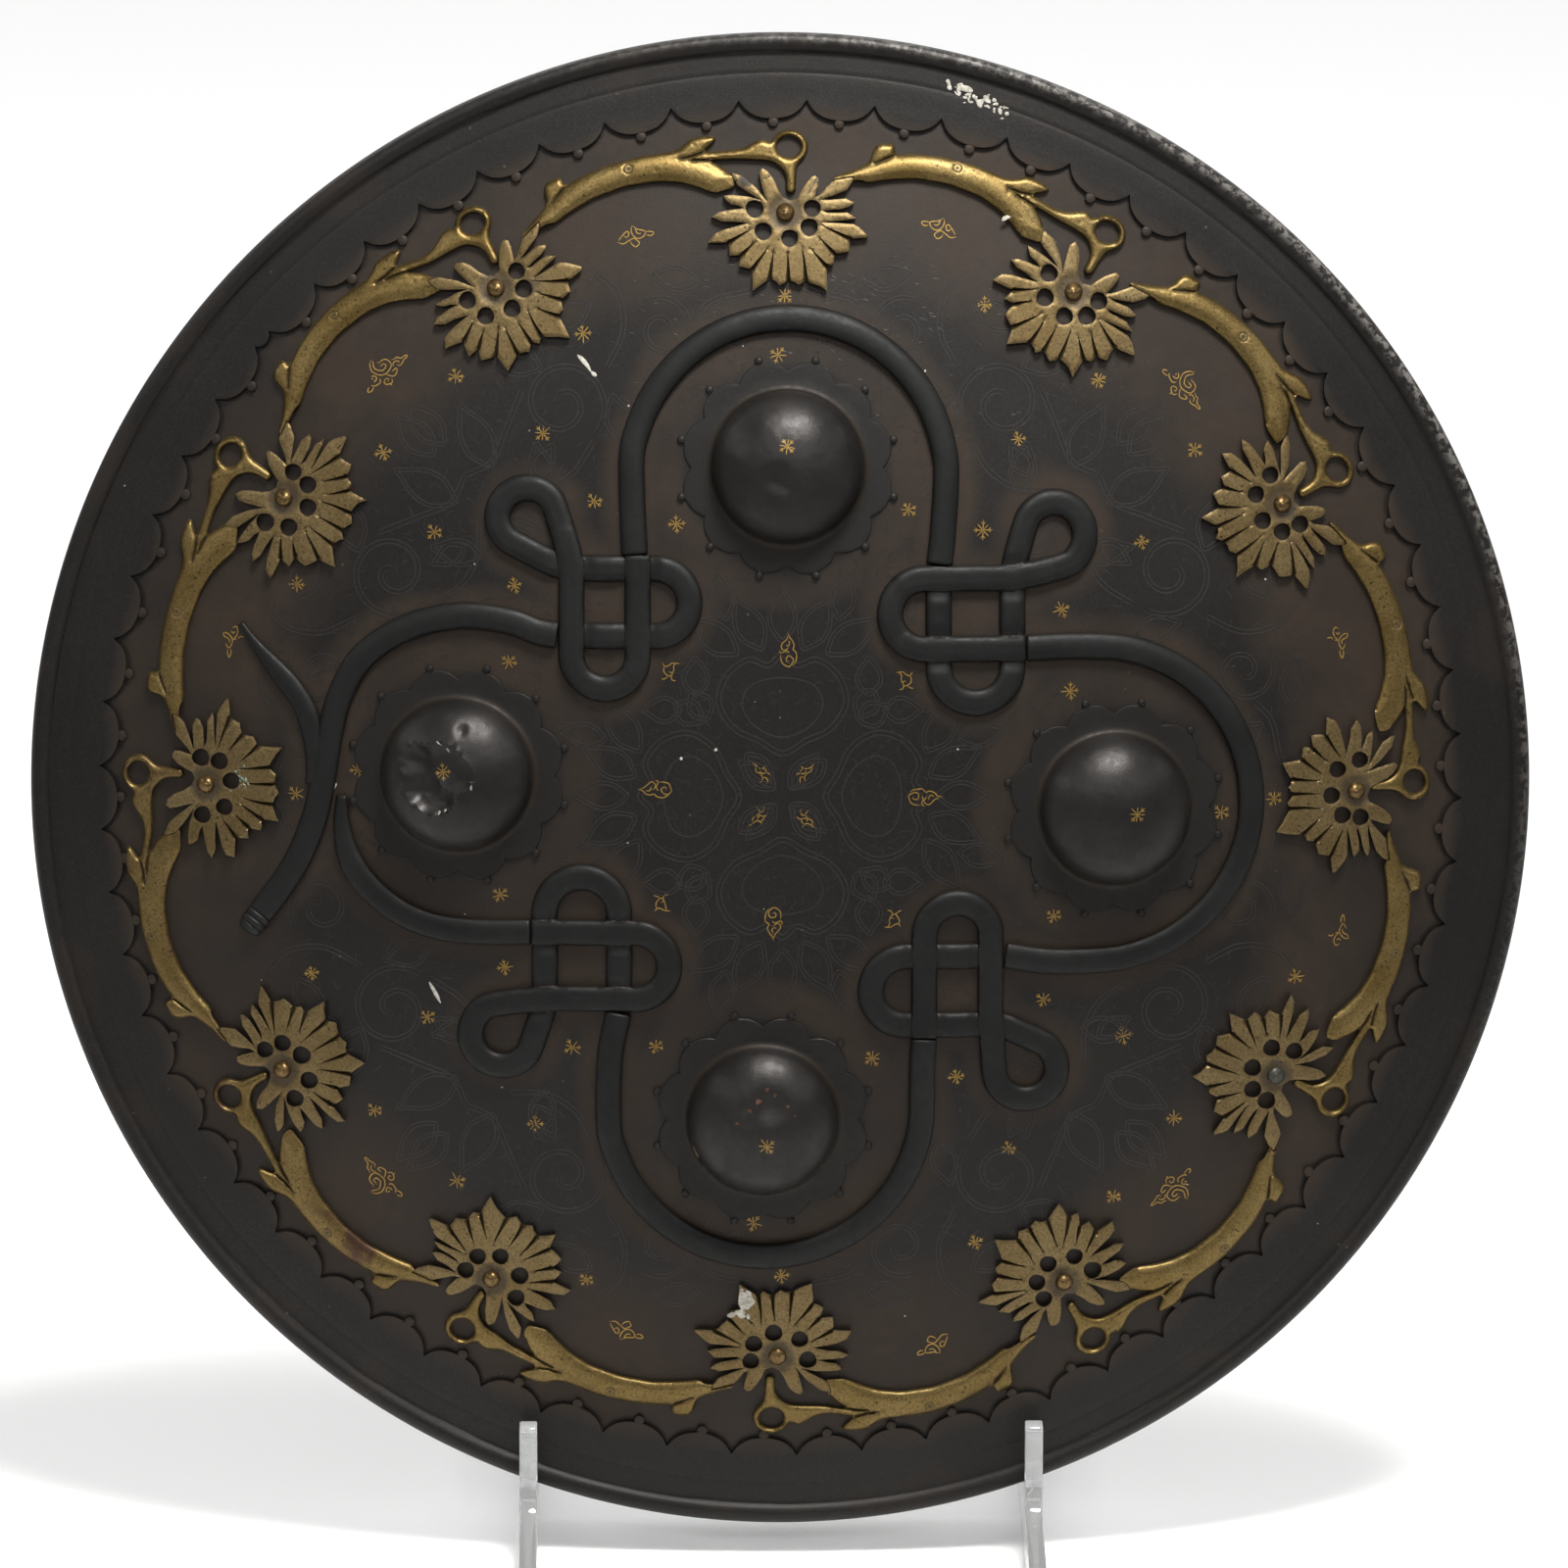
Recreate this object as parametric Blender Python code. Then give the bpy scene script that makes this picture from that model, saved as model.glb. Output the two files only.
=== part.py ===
"""Dhal: a domed steel shield with four bosses, interlaced cord bands and a wreath of
twelve brass flowers and twelve brass vines, leaning back on a clear two-sided stand.

Shield-local axes: +X right, +Y up the face, +Z out of the face; millimetres in the
functions, metres in the meshes.  The plan of every ornament is laid out on the flat rim
plane and lifted on to the dome with rise().
"""
import bpy
import bmesh
from math import (sin, cos, tan, atan2, hypot, radians, degrees, sqrt, pi)
from mathutils import Matrix, Vector
from mathutils.geometry import delaunay_2d_cdt

MM = 0.001
GAP = 0.3                      # clearance kept between touching pieces

# ---- shield plate ---------------------------------------------------------------------
RADIUS = 210.0                 # outer edge of the rolled rim
PLATE = 1.9                    # sheet thickness
CROWN_SLOPE = 0.4357           # slope of the dome at the edge if it ran on unchanged
CROWN_END = 0.80               # share of the radius where the brim starts to flatten
BRIM_START = 0.97              # share of the radius where the brim is straight
BRIM_SLOPE = 0.19
BEAD_R = 3.0                   # rolled edge
BORDER_STEP = 0.8              # brim stands this much above the ground
SCALLOPS = 65                  # regular scallops, plus one narrow one that closes the ring
SCALLOP_PITCH = 5.512          # degrees
CLOSING_AT = 138.5             # degrees, clockwise edge of the narrow scallop is the start
CUSP_R = 190.6                 # re-entrant points between scallops
SCALLOP_R = 185.6              # lowest line of a scallop
BORDER_UP = 0.6                # the border circle sits this much above the centre

# ---- bosses ---------------------------------------------------------------------------
BOSSES = {"boss_top": (1.5, 90.6), "boss_right": (92.2, -4.4),
          "boss_bottom": (-5.4, -91.2), "boss_left": (-89.9, 5.4)}
BOSS_R = 21.0
BOSS_H = 15.6
BOSS_SHEET = 1.2
FLANGE_IN = 26.6
FLANGE_OUT = 31.0
FLANGE_T = 0.6
BOSS_SIDES = 24

# ---- wreath ---------------------------------------------------------------------------
WREATH_R = 160.6               # circle of the flower pins
WREATH_TURN = 0.4              # degrees clockwise from straight up
REPEATS = 12
PITCH = 360.0 / REPEATS
FLOWER_T = 2.3
LONG, MID, SHORT = 22.6, 18.7, 17.0
FIRST, LAST = 13.5, 14.1
PETAL_ANGLES = (26.5, 51.7, 72.7, 90.5, 108.7, 124.2, 137.0, 155.0, 174.7,
                189.6, 207.0, 224.8, 240.4, 254.0, 268.3, 280.0, 295.3, 319.0)
HOLE_R = 2.45
HOLES = ((8.6, 84.8), (7.8, 131.2), (7.1, 190.0), (7.9, 240.5), (8.0, 281.4))
NOTCH = ((5.7, 8.2), (3.6, 4.3), (-0.6, 4.1), (-2.7, 7.6))
PIN_R, PIN_H = 2.5, 2.3
VINE_T = 2.7
VINE_BOW = (-1.3, 0.1, 1.0, -1.2, -0.1, 0.9, 0.8, -1.5, 0.0, 1.4, -2.4, 1.2)
VINE_TURN = (-0.1, 0.0, 0.2, 0.5, 0.5, -0.3, -0.4, 0.3, 0.5, -0.4, -0.2, -0.4)

# ---- cords ----------------------------------------------------------------------------
CORD_W = 7.3
CORD_H = 2.9
KNOT_H = 2.3
KNOTS = {
    "knot_upper_left": dict(s=(-1, 1), xo=58.4, xi=40.0, yo=63.1, yi=44.5, end=29.9,
                            side=25.7, cx=12.2, cy=13.8, rx=8.3, ry=8.2),
    "knot_upper_right": dict(s=(1, 1), xo=63.9, xi=43.4, yo=60.3, yi=40.8, end=25.8,
                             side=29.9, cx=11.6, cy=11.6, rx=8.6, ry=9.0),
    "knot_lower_left": dict(s=(-1, -1), xo=66.0, xi=45.3, yo=57.0, yi=38.3, end=22.7,
                            side=31.4, cx=12.0, cy=10.6, rx=8.8, ry=8.9),
    "knot_lower_right": dict(s=(1, -1), xo=58.0, xi=39.5, yo=64.5, yi=45.0, end=30.0,
                             side=24.6, cx=9.9, cy=12.9, rx=8.7, ry=8.7),
}

# ---- stand ----------------------------------------------------------------------------
LEAN = 10.0                    # the shield leans back by this much
CENTRE = (0.0, 19.3, 215.6)    # centre of the rim plane, in the world
SIDE_X = 71.0                  # middle of each side plate
SHEET = 5.0
FOOT_Y = 110.0                 # the feet reach this far to the front and to the back


# =======================================================================================
def rise(rho):
    """Height of the face above the rim plane."""
    q = min(rho / RADIUS, 1.0)
    s1 = CROWN_SLOPE * CROWN_END
    z = BRIM_SLOPE * (1.0 - max(q, BRIM_START))
    if q < BRIM_START:
        a = max(q, CROWN_END)
        sa = s1 + (BRIM_SLOPE - s1) * (a - CROWN_END) / (BRIM_START - CROWN_END)
        z += 0.5 * (sa + BRIM_SLOPE) * (BRIM_START - a)
    if q < CROWN_END:
        z += 0.5 * CROWN_SLOPE * (CROWN_END ** 2 - q * q)
    return z * RADIUS


def lift(x, y, h):
    """A plan point lifted h above the face, in metres."""
    return Vector((x, y, rise(hypot(x, y)) + h)) * MM


def polar(r, deg):
    return (r * cos(radians(deg)), r * sin(radians(deg)))


def spline(points, step):
    """Smooth curve through the points, cut into even steps."""
    p = [Vector((a, b)) for a, b in points]
    q = [2 * p[0] - p[1]] + p + [2 * p[-1] - p[-2]]
    fine = []
    for a, b, c, d in zip(q, q[1:], q[2:], q[3:]):
        for i in range(8):
            t = i / 8
            fine.append(0.5 * (2 * b + (c - a) * t + (2 * a - 5 * b + 4 * c - d) * t * t
                               + (3 * b - a - 3 * c + d) * t ** 3))
    fine.append(p[-1])
    run = [0.0]
    for a, b in zip(fine, fine[1:]):
        run.append(run[-1] + (b - a).length)
    n = max(2, round(run[-1] / step))
    out, j = [], 0
    for i in range(n + 1):
        s = run[-1] * i / n
        while j < len(run) - 2 and run[j + 1] < s:
            j += 1
        f = (s - run[j]) / max(run[j + 1] - run[j], 1e-9)
        out.append(fine[j].lerp(fine[j + 1], min(max(f, 0.0), 1.0)))
    return out


def inside(pt, poly):
    x, y = pt
    hit = False
    for (x0, y0), (x1, y1) in zip(poly, poly[1:] + poly[:1]):
        if (y0 > y) != (y1 > y) and x < x0 + (y - y0) / (y1 - y0) * (x1 - x0):
            hit = not hit
    return hit


def triangulate(loops, keep):
    """Constrained triangles of the loops whose middles pass keep()."""
    pts, edges = [], []
    for loop in loops:
        k = len(pts)
        pts += [Vector((a, b)) for a, b in loop]
        edges += [(k + i, k + (i + 1) % len(loop)) for i in range(len(loop))]
    v, _, f, *_ = delaunay_2d_cdt(pts, edges, [], 0, 1e-4)
    tris = []
    for t in f:
        m = sum((v[i] for i in t), Vector((0, 0))) / len(t)
        if keep((m.x, m.y)):
            tris.append(t)
    return v, tris


def outline(v, tris, shortest=0.25):
    """Boundary loops of a set of triangles."""
    count = {}
    for t in tris:
        for a, b in zip(t, t[1:] + t[:1]):
            count[(a, b)] = 1
    follow = {a: b for a, b in count if (b, a) not in count}
    loops = []
    while follow:
        a, b = follow.popitem()
        loop = [a]
        while b != a:
            loop.append(b)
            b = follow.pop(b)
        pts = []
        for i in loop:
            if not pts or (v[i] - Vector(pts[-1])).length > shortest:
                pts.append((v[i].x, v[i].y))
        # straight runs need no points of their own
        n = len(pts)
        pts = [pts[i] for i in range(n)
               if abs((Vector(pts[i]) - Vector(pts[i - 1])).normalized().cross(
                   (Vector(pts[(i + 1) % n]) - Vector(pts[i])).normalized())) > 0.02]
        loops.append(pts)
    return loops


def union_outline(shapes, holes=()):
    """Outer and inner loops of the union of the shapes, less the holes."""
    shapes, holes = [list(s) for s in shapes], [list(h) for h in holes]
    v, tris = triangulate(shapes + holes,
                          lambda m: any(inside(m, s) for s in shapes)
                          and not any(inside(m, h) for h in holes))
    return outline(v, tris)


def slab(name, loops, low, high, place=lift):
    """Closed plate between two heights, from an outline with holes."""
    def keep(m):
        return sum(inside(m, loop) for loop in loops) % 2 == 1
    v, tris = triangulate(loops, keep)
    bm = bmesh.new()
    used = sorted({i for t in tris for i in t})
    bottom = {i: bm.verts.new(place(v[i].x, v[i].y, low)) for i in used}
    for t in tris:
        bm.faces.new([bottom[i] for i in t])
    geom = bmesh.ops.extrude_face_region(bm, geom=bm.faces[:])
    top = [g for g in geom["geom"] if isinstance(g, bmesh.types.BMVert)]
    near = {(round(b.co.x, 7), round(b.co.y, 7)): i for i, b in bottom.items()}
    for t in top:
        i = near[(round(t.co.x, 7), round(t.co.y, 7))]
        t.co = place(v[i].x, v[i].y, high)
    bmesh.ops.triangulate(bm, faces=bm.faces[:])
    return finish(name, bm)


def finish(name, bm, smooth=30.0):
    bmesh.ops.remove_doubles(bm, verts=bm.verts[:], dist=1e-7)
    bmesh.ops.recalc_face_normals(bm, faces=bm.faces[:])
    if bm.calc_volume(signed=True) < 0:
        bmesh.ops.reverse_faces(bm, faces=bm.faces[:])
    mesh = bpy.data.meshes.new(name)
    bm.to_mesh(mesh)
    bm.free()
    mesh.shade_smooth()
    mesh.set_sharp_from_angle(angle=radians(smooth))
    return mesh


def ring(bm, n, f):
    """n vertices round the axis; f(angle in degrees) gives the point."""
    return [bm.verts.new(f(360.0 * i / n)) for i in range(n)]


def band(bm, a, b):
    """Faces between two rings whose counts divide evenly."""
    if len(a) < len(b):
        a, b = b, a
    k = len(a) // len(b)
    for j in range(len(b)):
        fan = [a[(j * k + i) % len(a)] for i in range(k + 1)]
        b0, b1 = b[j], b[(j + 1) % len(b)]
        half = (k + 1) // 2
        for i in range(k):
            bm.faces.new((fan[i], fan[i + 1], b0 if i < half else b1))
        bm.faces.new((b0, fan[half], b1))


def cap(bm, loop, tip):
    v = bm.verts.new(tip)
    for a, b in zip(loop, loop[1:] + loop[:1]):
        bm.faces.new((a, b, v))


# ---- shield plate ---------------------------------------------------------------------
def drift(deg):
    """The scallops were spaced by hand, and wander a degree or two round the right side."""
    a = radians(deg)
    return -1.15 + 0.95 * cos(a - radians(175)) + 0.55 * cos(2 * a + radians(95))


def cusps():
    """Angles of the points between scallops, clockwise from the narrow closing one."""
    out = []
    for j in range(SCALLOPS + 1):
        a = CLOSING_AT - SCALLOP_PITCH * j
        ease = min(1.0, j / 6.0, (SCALLOPS - j) / 6.0)
        out.append(a + drift(a) * ease)
    return out


def border_line():
    """Scallop edge as (angle, radius), three points to a scallop."""
    line = []
    marks = cusps()
    for a, b in zip(marks, marks[1:]):
        line += [(a, CUSP_R), (a + (b - a) * 0.3, SCALLOP_R + 0.7),
                 (a + (b - a) * 0.7, SCALLOP_R + 0.7)]
    line += [(marks[-1], CUSP_R), (marks[-1] - (marks[-1] + 360 - marks[0]) / 2, CUSP_R - 1.5)]
    return line


def shield_plate():
    bm = bmesh.new()
    line = border_line()
    n = len(line)

    def on(r, h):
        return lambda d: lift(*polar(r, d), h)

    face = [ring(bm, 18, on(r, 0.0)) for r in (32.0, 60.0)]
    face += [ring(bm, 36, on(r, 0.0)) for r in (84.0, 106.0, 128.0, 150.0)]
    face += [ring(bm, 72, on(177.0, 0.0))]
    cap(bm, face[0], lift(0, 0, 0))
    for a, b in zip(face, face[1:]):
        band(bm, a, b)

    def border(h, out=0.0):
        vs = []
        for d, r in line:
            x, y = polar(r + out, d)
            vs.append(bm.verts.new(lift(x, y + BORDER_UP, h)))
        return vs
    foot, crest = border(0.0), border(BORDER_STEP, 0.15)
    for i in range(n):
        j = (i + 1) % n
        bm.faces.new((foot[i], foot[j], crest[j], crest[i]))

    def zip_rings(inner, outer, inner_deg, outer_deg):
        """Triangles between two rings with unlike counts, both counter-clockwise."""
        i = j = 0
        ni, no = len(inner), len(outer)
        while i < ni or j < no:
            ni_next = inner_deg[(i + 1) % ni] + 360 * ((i + 1) // ni)
            no_next = outer_deg[(j + 1) % no] + 360 * ((j + 1) // no)
            if j >= no or (i < ni and ni_next < no_next):
                bm.faces.new((inner[i % ni], inner[(i + 1) % ni], outer[j % no]))
                i += 1
            else:
                bm.faces.new((inner[i % ni], outer[(j + 1) % no], outer[j % no]))
                j += 1

    def ordered(vs):
        """Ring as counter-clockwise list from angle 0, with its angles."""
        pairs = sorted(((degrees(atan2(v.co.y, v.co.x)) % 360, k) for k, v in enumerate(vs)))
        return [vs[k] for _, k in pairs], [d for d, _ in pairs]

    inner, di = ordered(face[-1])
    mid, dm = ordered(foot)
    zip_rings(inner, mid, di, dm)

    def centre(r, h):
        return lambda d: Vector((*polar(r, d), h)) * MM

    brim = [ring(bm, 72, on(r, BORDER_STEP)) for r in (197.0, RADIUS - 2 * BEAD_R - 0.4)]
    mid, dm = ordered(crest)
    outer, do = ordered(brim[0])
    zip_rings(mid, outer, dm, do)
    # rolled edge: a half-round bead that stands proud on the face and turns under
    mid_r, mid_h = RADIUS - BEAD_R, 0.3
    bead = []
    for t in (125, 55, -10, -90):
        bead.append(ring(bm, 72, centre(mid_r + BEAD_R * cos(radians(t)),
                                        mid_h + BEAD_R * sin(radians(t)))))
    rows = [brim[0], brim[1]] + bead
    back_r = RADIUS - 2 * BEAD_R - 1.0
    back = [ring(bm, 72, on(back_r, BORDER_STEP - PLATE - 0.5)),
            ring(bm, 36, on(186.0, -PLATE)), ring(bm, 36, on(168.0, -PLATE)),
            ring(bm, 36, on(140.0, -PLATE)), ring(bm, 36, on(112.0, -PLATE)),
            ring(bm, 18, on(84.0, -PLATE)), ring(bm, 18, on(56.0, -PLATE)),
            ring(bm, 18, on(28.0, -PLATE))]
    rows += back
    for a, b in zip(rows, rows[1:]):
        band(bm, a, b)
    cap(bm, back[-1], lift(0, 0, -PLATE))
    bmesh.ops.triangulate(bm, faces=bm.faces[:])
    return finish("shield_plate", bm, 40)


# ---- bosses ---------------------------------------------------------------------------
def boss(centre):
    cx, cy = centre
    rho = hypot(cx, cy)
    slope = CROWN_SLOPE * rho / RADIUS
    out = Vector((cx / rho, cy / rho, 0.0))
    up = (Vector((0, 0, 1)) + slope * out).normalized()
    bm = bmesh.new()
    n = BOSS_SIDES

    def at(r, h, turn=0.0):
        def f(d):
            x, y = polar(r if not callable(r) else r(d), d + turn)
            return lift(cx + x, cy + y, GAP) + up * (h * MM)
        return f

    def dome(r, top, base):
        return top * sqrt(max(0.0, 1 - (r / base) ** 2))
    outer = [ring(bm, n // 2 if r < 12 else n,
                  at(r, FLANGE_T + dome(r, BOSS_H - FLANGE_T, BOSS_R + 0.4)))
             for r in (9.5, 16.5, BOSS_R)]
    apex = lift(cx, cy, GAP)
    cap(bm, outer[0], apex + up * (BOSS_H * MM))

    def lobes(d):
        return FLANGE_IN if round(d / 15.0) % 2 == 0 else FLANGE_OUT
    rim_top = ring(bm, n, at(lobes, FLANGE_T))
    rim_low = ring(bm, n, at(lobes, 0.0))
    inner = [ring(bm, n // 2, at(r, dome(r, BOSS_H - BOSS_SHEET, BOSS_R - BOSS_SHEET + 0.3)))
             for r in (BOSS_R - BOSS_SHEET, 13.0)]
    rows = outer + [rim_top, rim_low] + inner
    for a, b in zip(rows, rows[1:]):
        band(bm, a, b)
    cap(bm, inner[-1], apex + up * ((BOSS_H - BOSS_SHEET) * MM))
    return finish("boss", bm, 35)


# ---- flowers --------------------------------------------------------------------------
def flower_point(r, deg):
    """Flower plan: degrees from the notch, turning counter-clockwise; radially out is +Y."""
    return (-r * sin(radians(deg)), r * cos(radians(deg)))


def petal_length(i):
    if i == 0:
        return FIRST
    if i == len(PETAL_ANGLES) - 1:
        return LAST
    if i == 1:
        return SHORT + 0.4
    if i == 2:
        return SHORT - 0.6
    if i == len(PETAL_ANGLES) - 2:
        return MID + 1.0
    return LONG if i % 3 == 1 else MID


def flower_loops():
    star = []
    last = len(PETAL_ANGLES) - 1
    for i, a in enumerate(PETAL_ANGLES):
        star.append(flower_point(petal_length(i), a))
        if i < last:
            b = PETAL_ANGLES[i + 1]
            r = 0.83 * min(petal_length(i), petal_length(i + 1))
            star.append(flower_point(r, (a + b) / 2))
    star += NOTCH
    holes = []
    for r, a in HOLES:
        hx, hy = flower_point(r, a)
        holes.append([(hx + x, hy + y) for x, y in (polar(HOLE_R, 90 * k + 45) for k in range(4))])
    return [star] + holes


def flower():
    return slab("flower", flower_loops(), GAP, GAP + FLOWER_T,
                lambda x, y, h: lift(x, y + WREATH_R, h))


def flower_pin():
    bm = bmesh.new()
    base = GAP * 2 + FLOWER_T

    def at(r, h):
        return lambda d: lift(polar(r, d)[0], WREATH_R + polar(r, d)[1], base + h)
    rows = [ring(bm, 6, at(PIN_R, 0.0)), ring(bm, 6, at(PIN_R * 0.84, PIN_H * 0.6))]
    band(bm, rows[0], rows[1])
    cap(bm, rows[1], lift(0, WREATH_R, base + PIN_H))
    cap(bm, rows[0], lift(0, WREATH_R, base))
    return finish("flower_pin", bm, 60)


# ---- vines ----------------------------------------------------------------------------
def vine_xy(deg, rho):
    """Vine plan: degrees counter-clockwise from the flower at its ring end."""
    return (-rho * sin(radians(deg)), rho * cos(radians(deg)))


def limb_mid(d, bow):
    """Radius of the limb's centreline: a bow that dips at both ends."""
    t = (d - 14.6) / 8.6
    return 178.05 + bow * max(0.0, 1 - t * t * 0.5) - 5.0 * abs(t) ** 2.4


def vine_loops(bow):
    # limb: chisel end at 5 degrees, pointed end at 25.4 degrees
    stations = (7.8, 10.6, 14.6, 18.2)
    half = (3.3, 3.2, 3.15, 3.1)
    upper = [(d, limb_mid(d, bow) + w) for d, w in zip(stations, half)]
    lower = [(d, limb_mid(d, bow) - w) for d, w in zip(stations, half)]
    mid = limb_mid
    limb = [(5.0, 169.4), (6.3, 166.9)] + lower + [(22.5, 169.8 + bow * 0.2),
            (22.9, 171.1), (25.2, 170.7), (25.2, 171.4), (23.0, 174.1 + bow * 0.4)] \
        + upper[::-1] + [(5.7, 172.6)]
    fork = [(10.6, mid(10.6, bow) + 2.0), (8.2, mid(8.2, bow)), (7.2, 178.2 + bow * 0.6),
            (6.3, 181.0 + bow * 0.7), (8.6, 181.8 + bow * 0.8)]
    stub = [(22.6, 174.6 + bow * 0.5), (19.8, 176.2 + bow * 0.8), (20.4, 181.0 + bow * 0.8),
            (22.0, 180.6 + bow * 0.8)]
    lift_r = bow * 0.3
    twig = [(8.6, 178.2 + bow), (2.4, 178.4 + lift_r), (1.2, 180.2 + lift_r),
            (0.8, 177.0 + lift_r), (-0.9, 174.6), (-1.0, 166.5), (-0.1, 166.5),
            (0.4, 172.4), (2.2, 175.3 + lift_r), (7.2, 175.7 + lift_r)]
    shapes = [[vine_xy(*p) for p in s] for s in (limb, fork, stub, twig)]
    cx, cy = vine_xy(-0.3, 178.6 + lift_r)
    shapes.append([(cx + x, cy + y) for x, y in (polar(4.8, 45 * k + 22.5) for k in range(8))])
    hole = [(cx + x, cy + y) for x, y in (polar(3.0, 72 * k + 18) for k in range(5))]
    return union_outline(shapes, [hole])


def vine(bow):
    return slab("vine", vine_loops(bow), GAP, GAP + VINE_T)


# ---- cords ----------------------------------------------------------------------------
def knot_path(d, step):
    xo, xi, yo, yi = d["xo"], d["xi"], d["yo"], d["yi"]
    sx, sy = d["s"]
    rv, rh = (xo - xi) / 2, (yo - yi) / 2
    half_turn = (0, 30, 60, 90, 120, 150, 180)
    p = [(xi, yo + CORD_W / 2), (xi, yo - 2), (xi, yi + 2)]
    centre = d["end"] + rv
    p += [((xo + xi) / 2 - rv * cos(radians(a)), centre - rv * sin(radians(a))) for a in half_turn]
    p += [(xo, yi + 2), (xo, yo - 2), (xo + 0.4, yo + 3)]
    cx, cy = xo + d["cx"], yo + d["cy"]
    p += [(cx + d["rx"] * cos(radians(a)), cy + d["ry"] * sin(radians(a)))
          for a in (172, 140, 108, 75, 45, 15, -15, -45, -72)]
    p += [(xo + 3, yo + 0.4), (xo - 2, yo), (xi + 2, yo)]
    centre = d["side"] + rh
    p += [(centre - rh * sin(radians(a)), (yo + yi) / 2 + rh * cos(radians(a))) for a in half_turn]
    p += [(xi + 2, yi), (xo - 2, yi), (xo + CORD_W / 2, yi)]
    return spline([(sx * x, sy * y) for x, y in p], step)


def sides_of(path, width):
    """Left and right edges of a ribbon along a path."""
    left, right = [], []
    for i, p in enumerate(path):
        t = (path[min(i + 1, len(path) - 1)] - path[max(i - 1, 0)]).normalized()
        nrm = Vector((-t.y, t.x))
        w = width(i / (len(path) - 1)) / 2 if callable(width) else width / 2
        left.append(p + nrm * w)
        right.append(p - nrm * w)
    return left, right


def knot(d):
    left, right = sides_of(knot_path(d, 6.9), CORD_W)
    quads = [[tuple(left[i]), tuple(left[i + 1]), tuple(right[i + 1]), tuple(right[i])]
             for i in range(len(left) - 1)]
    loops = union_outline(quads)
    loops = [loop for loop in loops if abs(area(loop)) > 6.0]
    return slab("knot", loops, GAP, GAP + KNOT_H)


def area(loop):
    return 0.5 * sum(a[0] * b[1] - b[0] * a[1] for a, b in zip(loop, loop[1:] + loop[:1]))


def lobe(centre, r, a0, a1, start, end, step):
    """Cord that runs straight, round a large lobe, and straight again."""
    n = int(abs(a1 - a0) / 15)
    turn = [(centre[0] + r * cos(radians(a0 + (a1 - a0) * i / n)),
             centre[1] + r * sin(radians(a0 + (a1 - a0) * i / n))) for i in range(n + 1)]
    return spline(list(start) + turn + list(end), step)


def cord(path, width=CORD_W, height=CORD_H):
    """Half-round band along a path."""
    bm = bmesh.new()
    left, right = sides_of(path, width)
    rows = []
    for i, p in enumerate(path):
        a, b = left[i], right[i]
        f = (b - a).length / CORD_W
        row = []
        for s, h in ((0.0, 0.0), (0.22, 1.0), (0.78, 1.0), (1.0, 0.0)):
            q = a.lerp(b, s)
            row.append(bm.verts.new(lift(q.x, q.y, GAP + h * height * min(1.0, 0.35 + 0.65 * f))))
        rows.append(row)
    for a, b in zip(rows, rows[1:]):
        for i in range(4):
            j = (i + 1) % 4
            bm.faces.new((a[i], a[j], b[j], b[i]))
    bm.faces.new(rows[0])
    bm.faces.new(rows[-1])
    bmesh.ops.triangulate(bm, faces=bm.faces[:])
    return finish("cord", bm, 40)


STEP = 9.0
CORDS = {
    "cord_top": lobe((1.8, 88.0), 43.8, 172, 2,
                     [(-40.9, 67.3), (-41.4, 80.0)], [(44.6, 73.0), (43.7, 64.8)], STEP),
    "cord_right": lobe((87.0, -2.9), 43.9, 84, -86,
                       [(68.1, 40.8), (79.0, 41.2)], [(75.0, -46.9), (62.9, -45.1)], STEP),
    "cord_bottom": lobe((-4.8, -87.3), 43.8, -5, -172,
                        [(39.4, -68.9), (39.0, -78.0)], [(-47.9, -74.0), (-45.7, -61.9)], STEP),
}
LEFT_UPPER = [(-63.3, 44.7), (-68.0, 45.5), (-76.0, 48.3), (-89.0, 49.6), (-103.0, 46.5),
              (-115.6, 38.6), (-122.5, 27.6), (-125.8, 15.0), (-128.1, 1.0), (-130.3, -8.1),
              (-134.3, -18.0), (-139.0, -26.0), (-145.0, -34.2), (-149.3, -40.2)]
LEFT_LOWER = [(-120.6, -17.6), (-116.6, -24.6), (-108.2, -32.2), (-97.6, -36.9),
              (-84.0, -38.5), (-70.2, -38.3)]
LEFT_INNER = [(-122.4, -1.0), (-122.4, -9.0)]
TAIL = [(-150.6, 46.2), (-146.0, 40.0), (-140.6, 33.6), (-135.6, 27.8), (-132.6, 23.0)]


# ---- stand ----------------------------------------------------------------------------
def world(x, y, n):
    """Shield-local point, in the world."""
    b = radians(LEAN)
    return (CENTRE[0] + x, CENTRE[1] + y * sin(b) - n * cos(b), CENTRE[2] + y * cos(b) + n * sin(b))


def arc(cy, cz, r, a0, a1, n):
    return [(cy + r * cos(radians(a0 + (a1 - a0) * i / n)),
             cz + r * sin(radians(a0 + (a1 - a0) * i / n))) for i in range(n + 1)]


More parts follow.
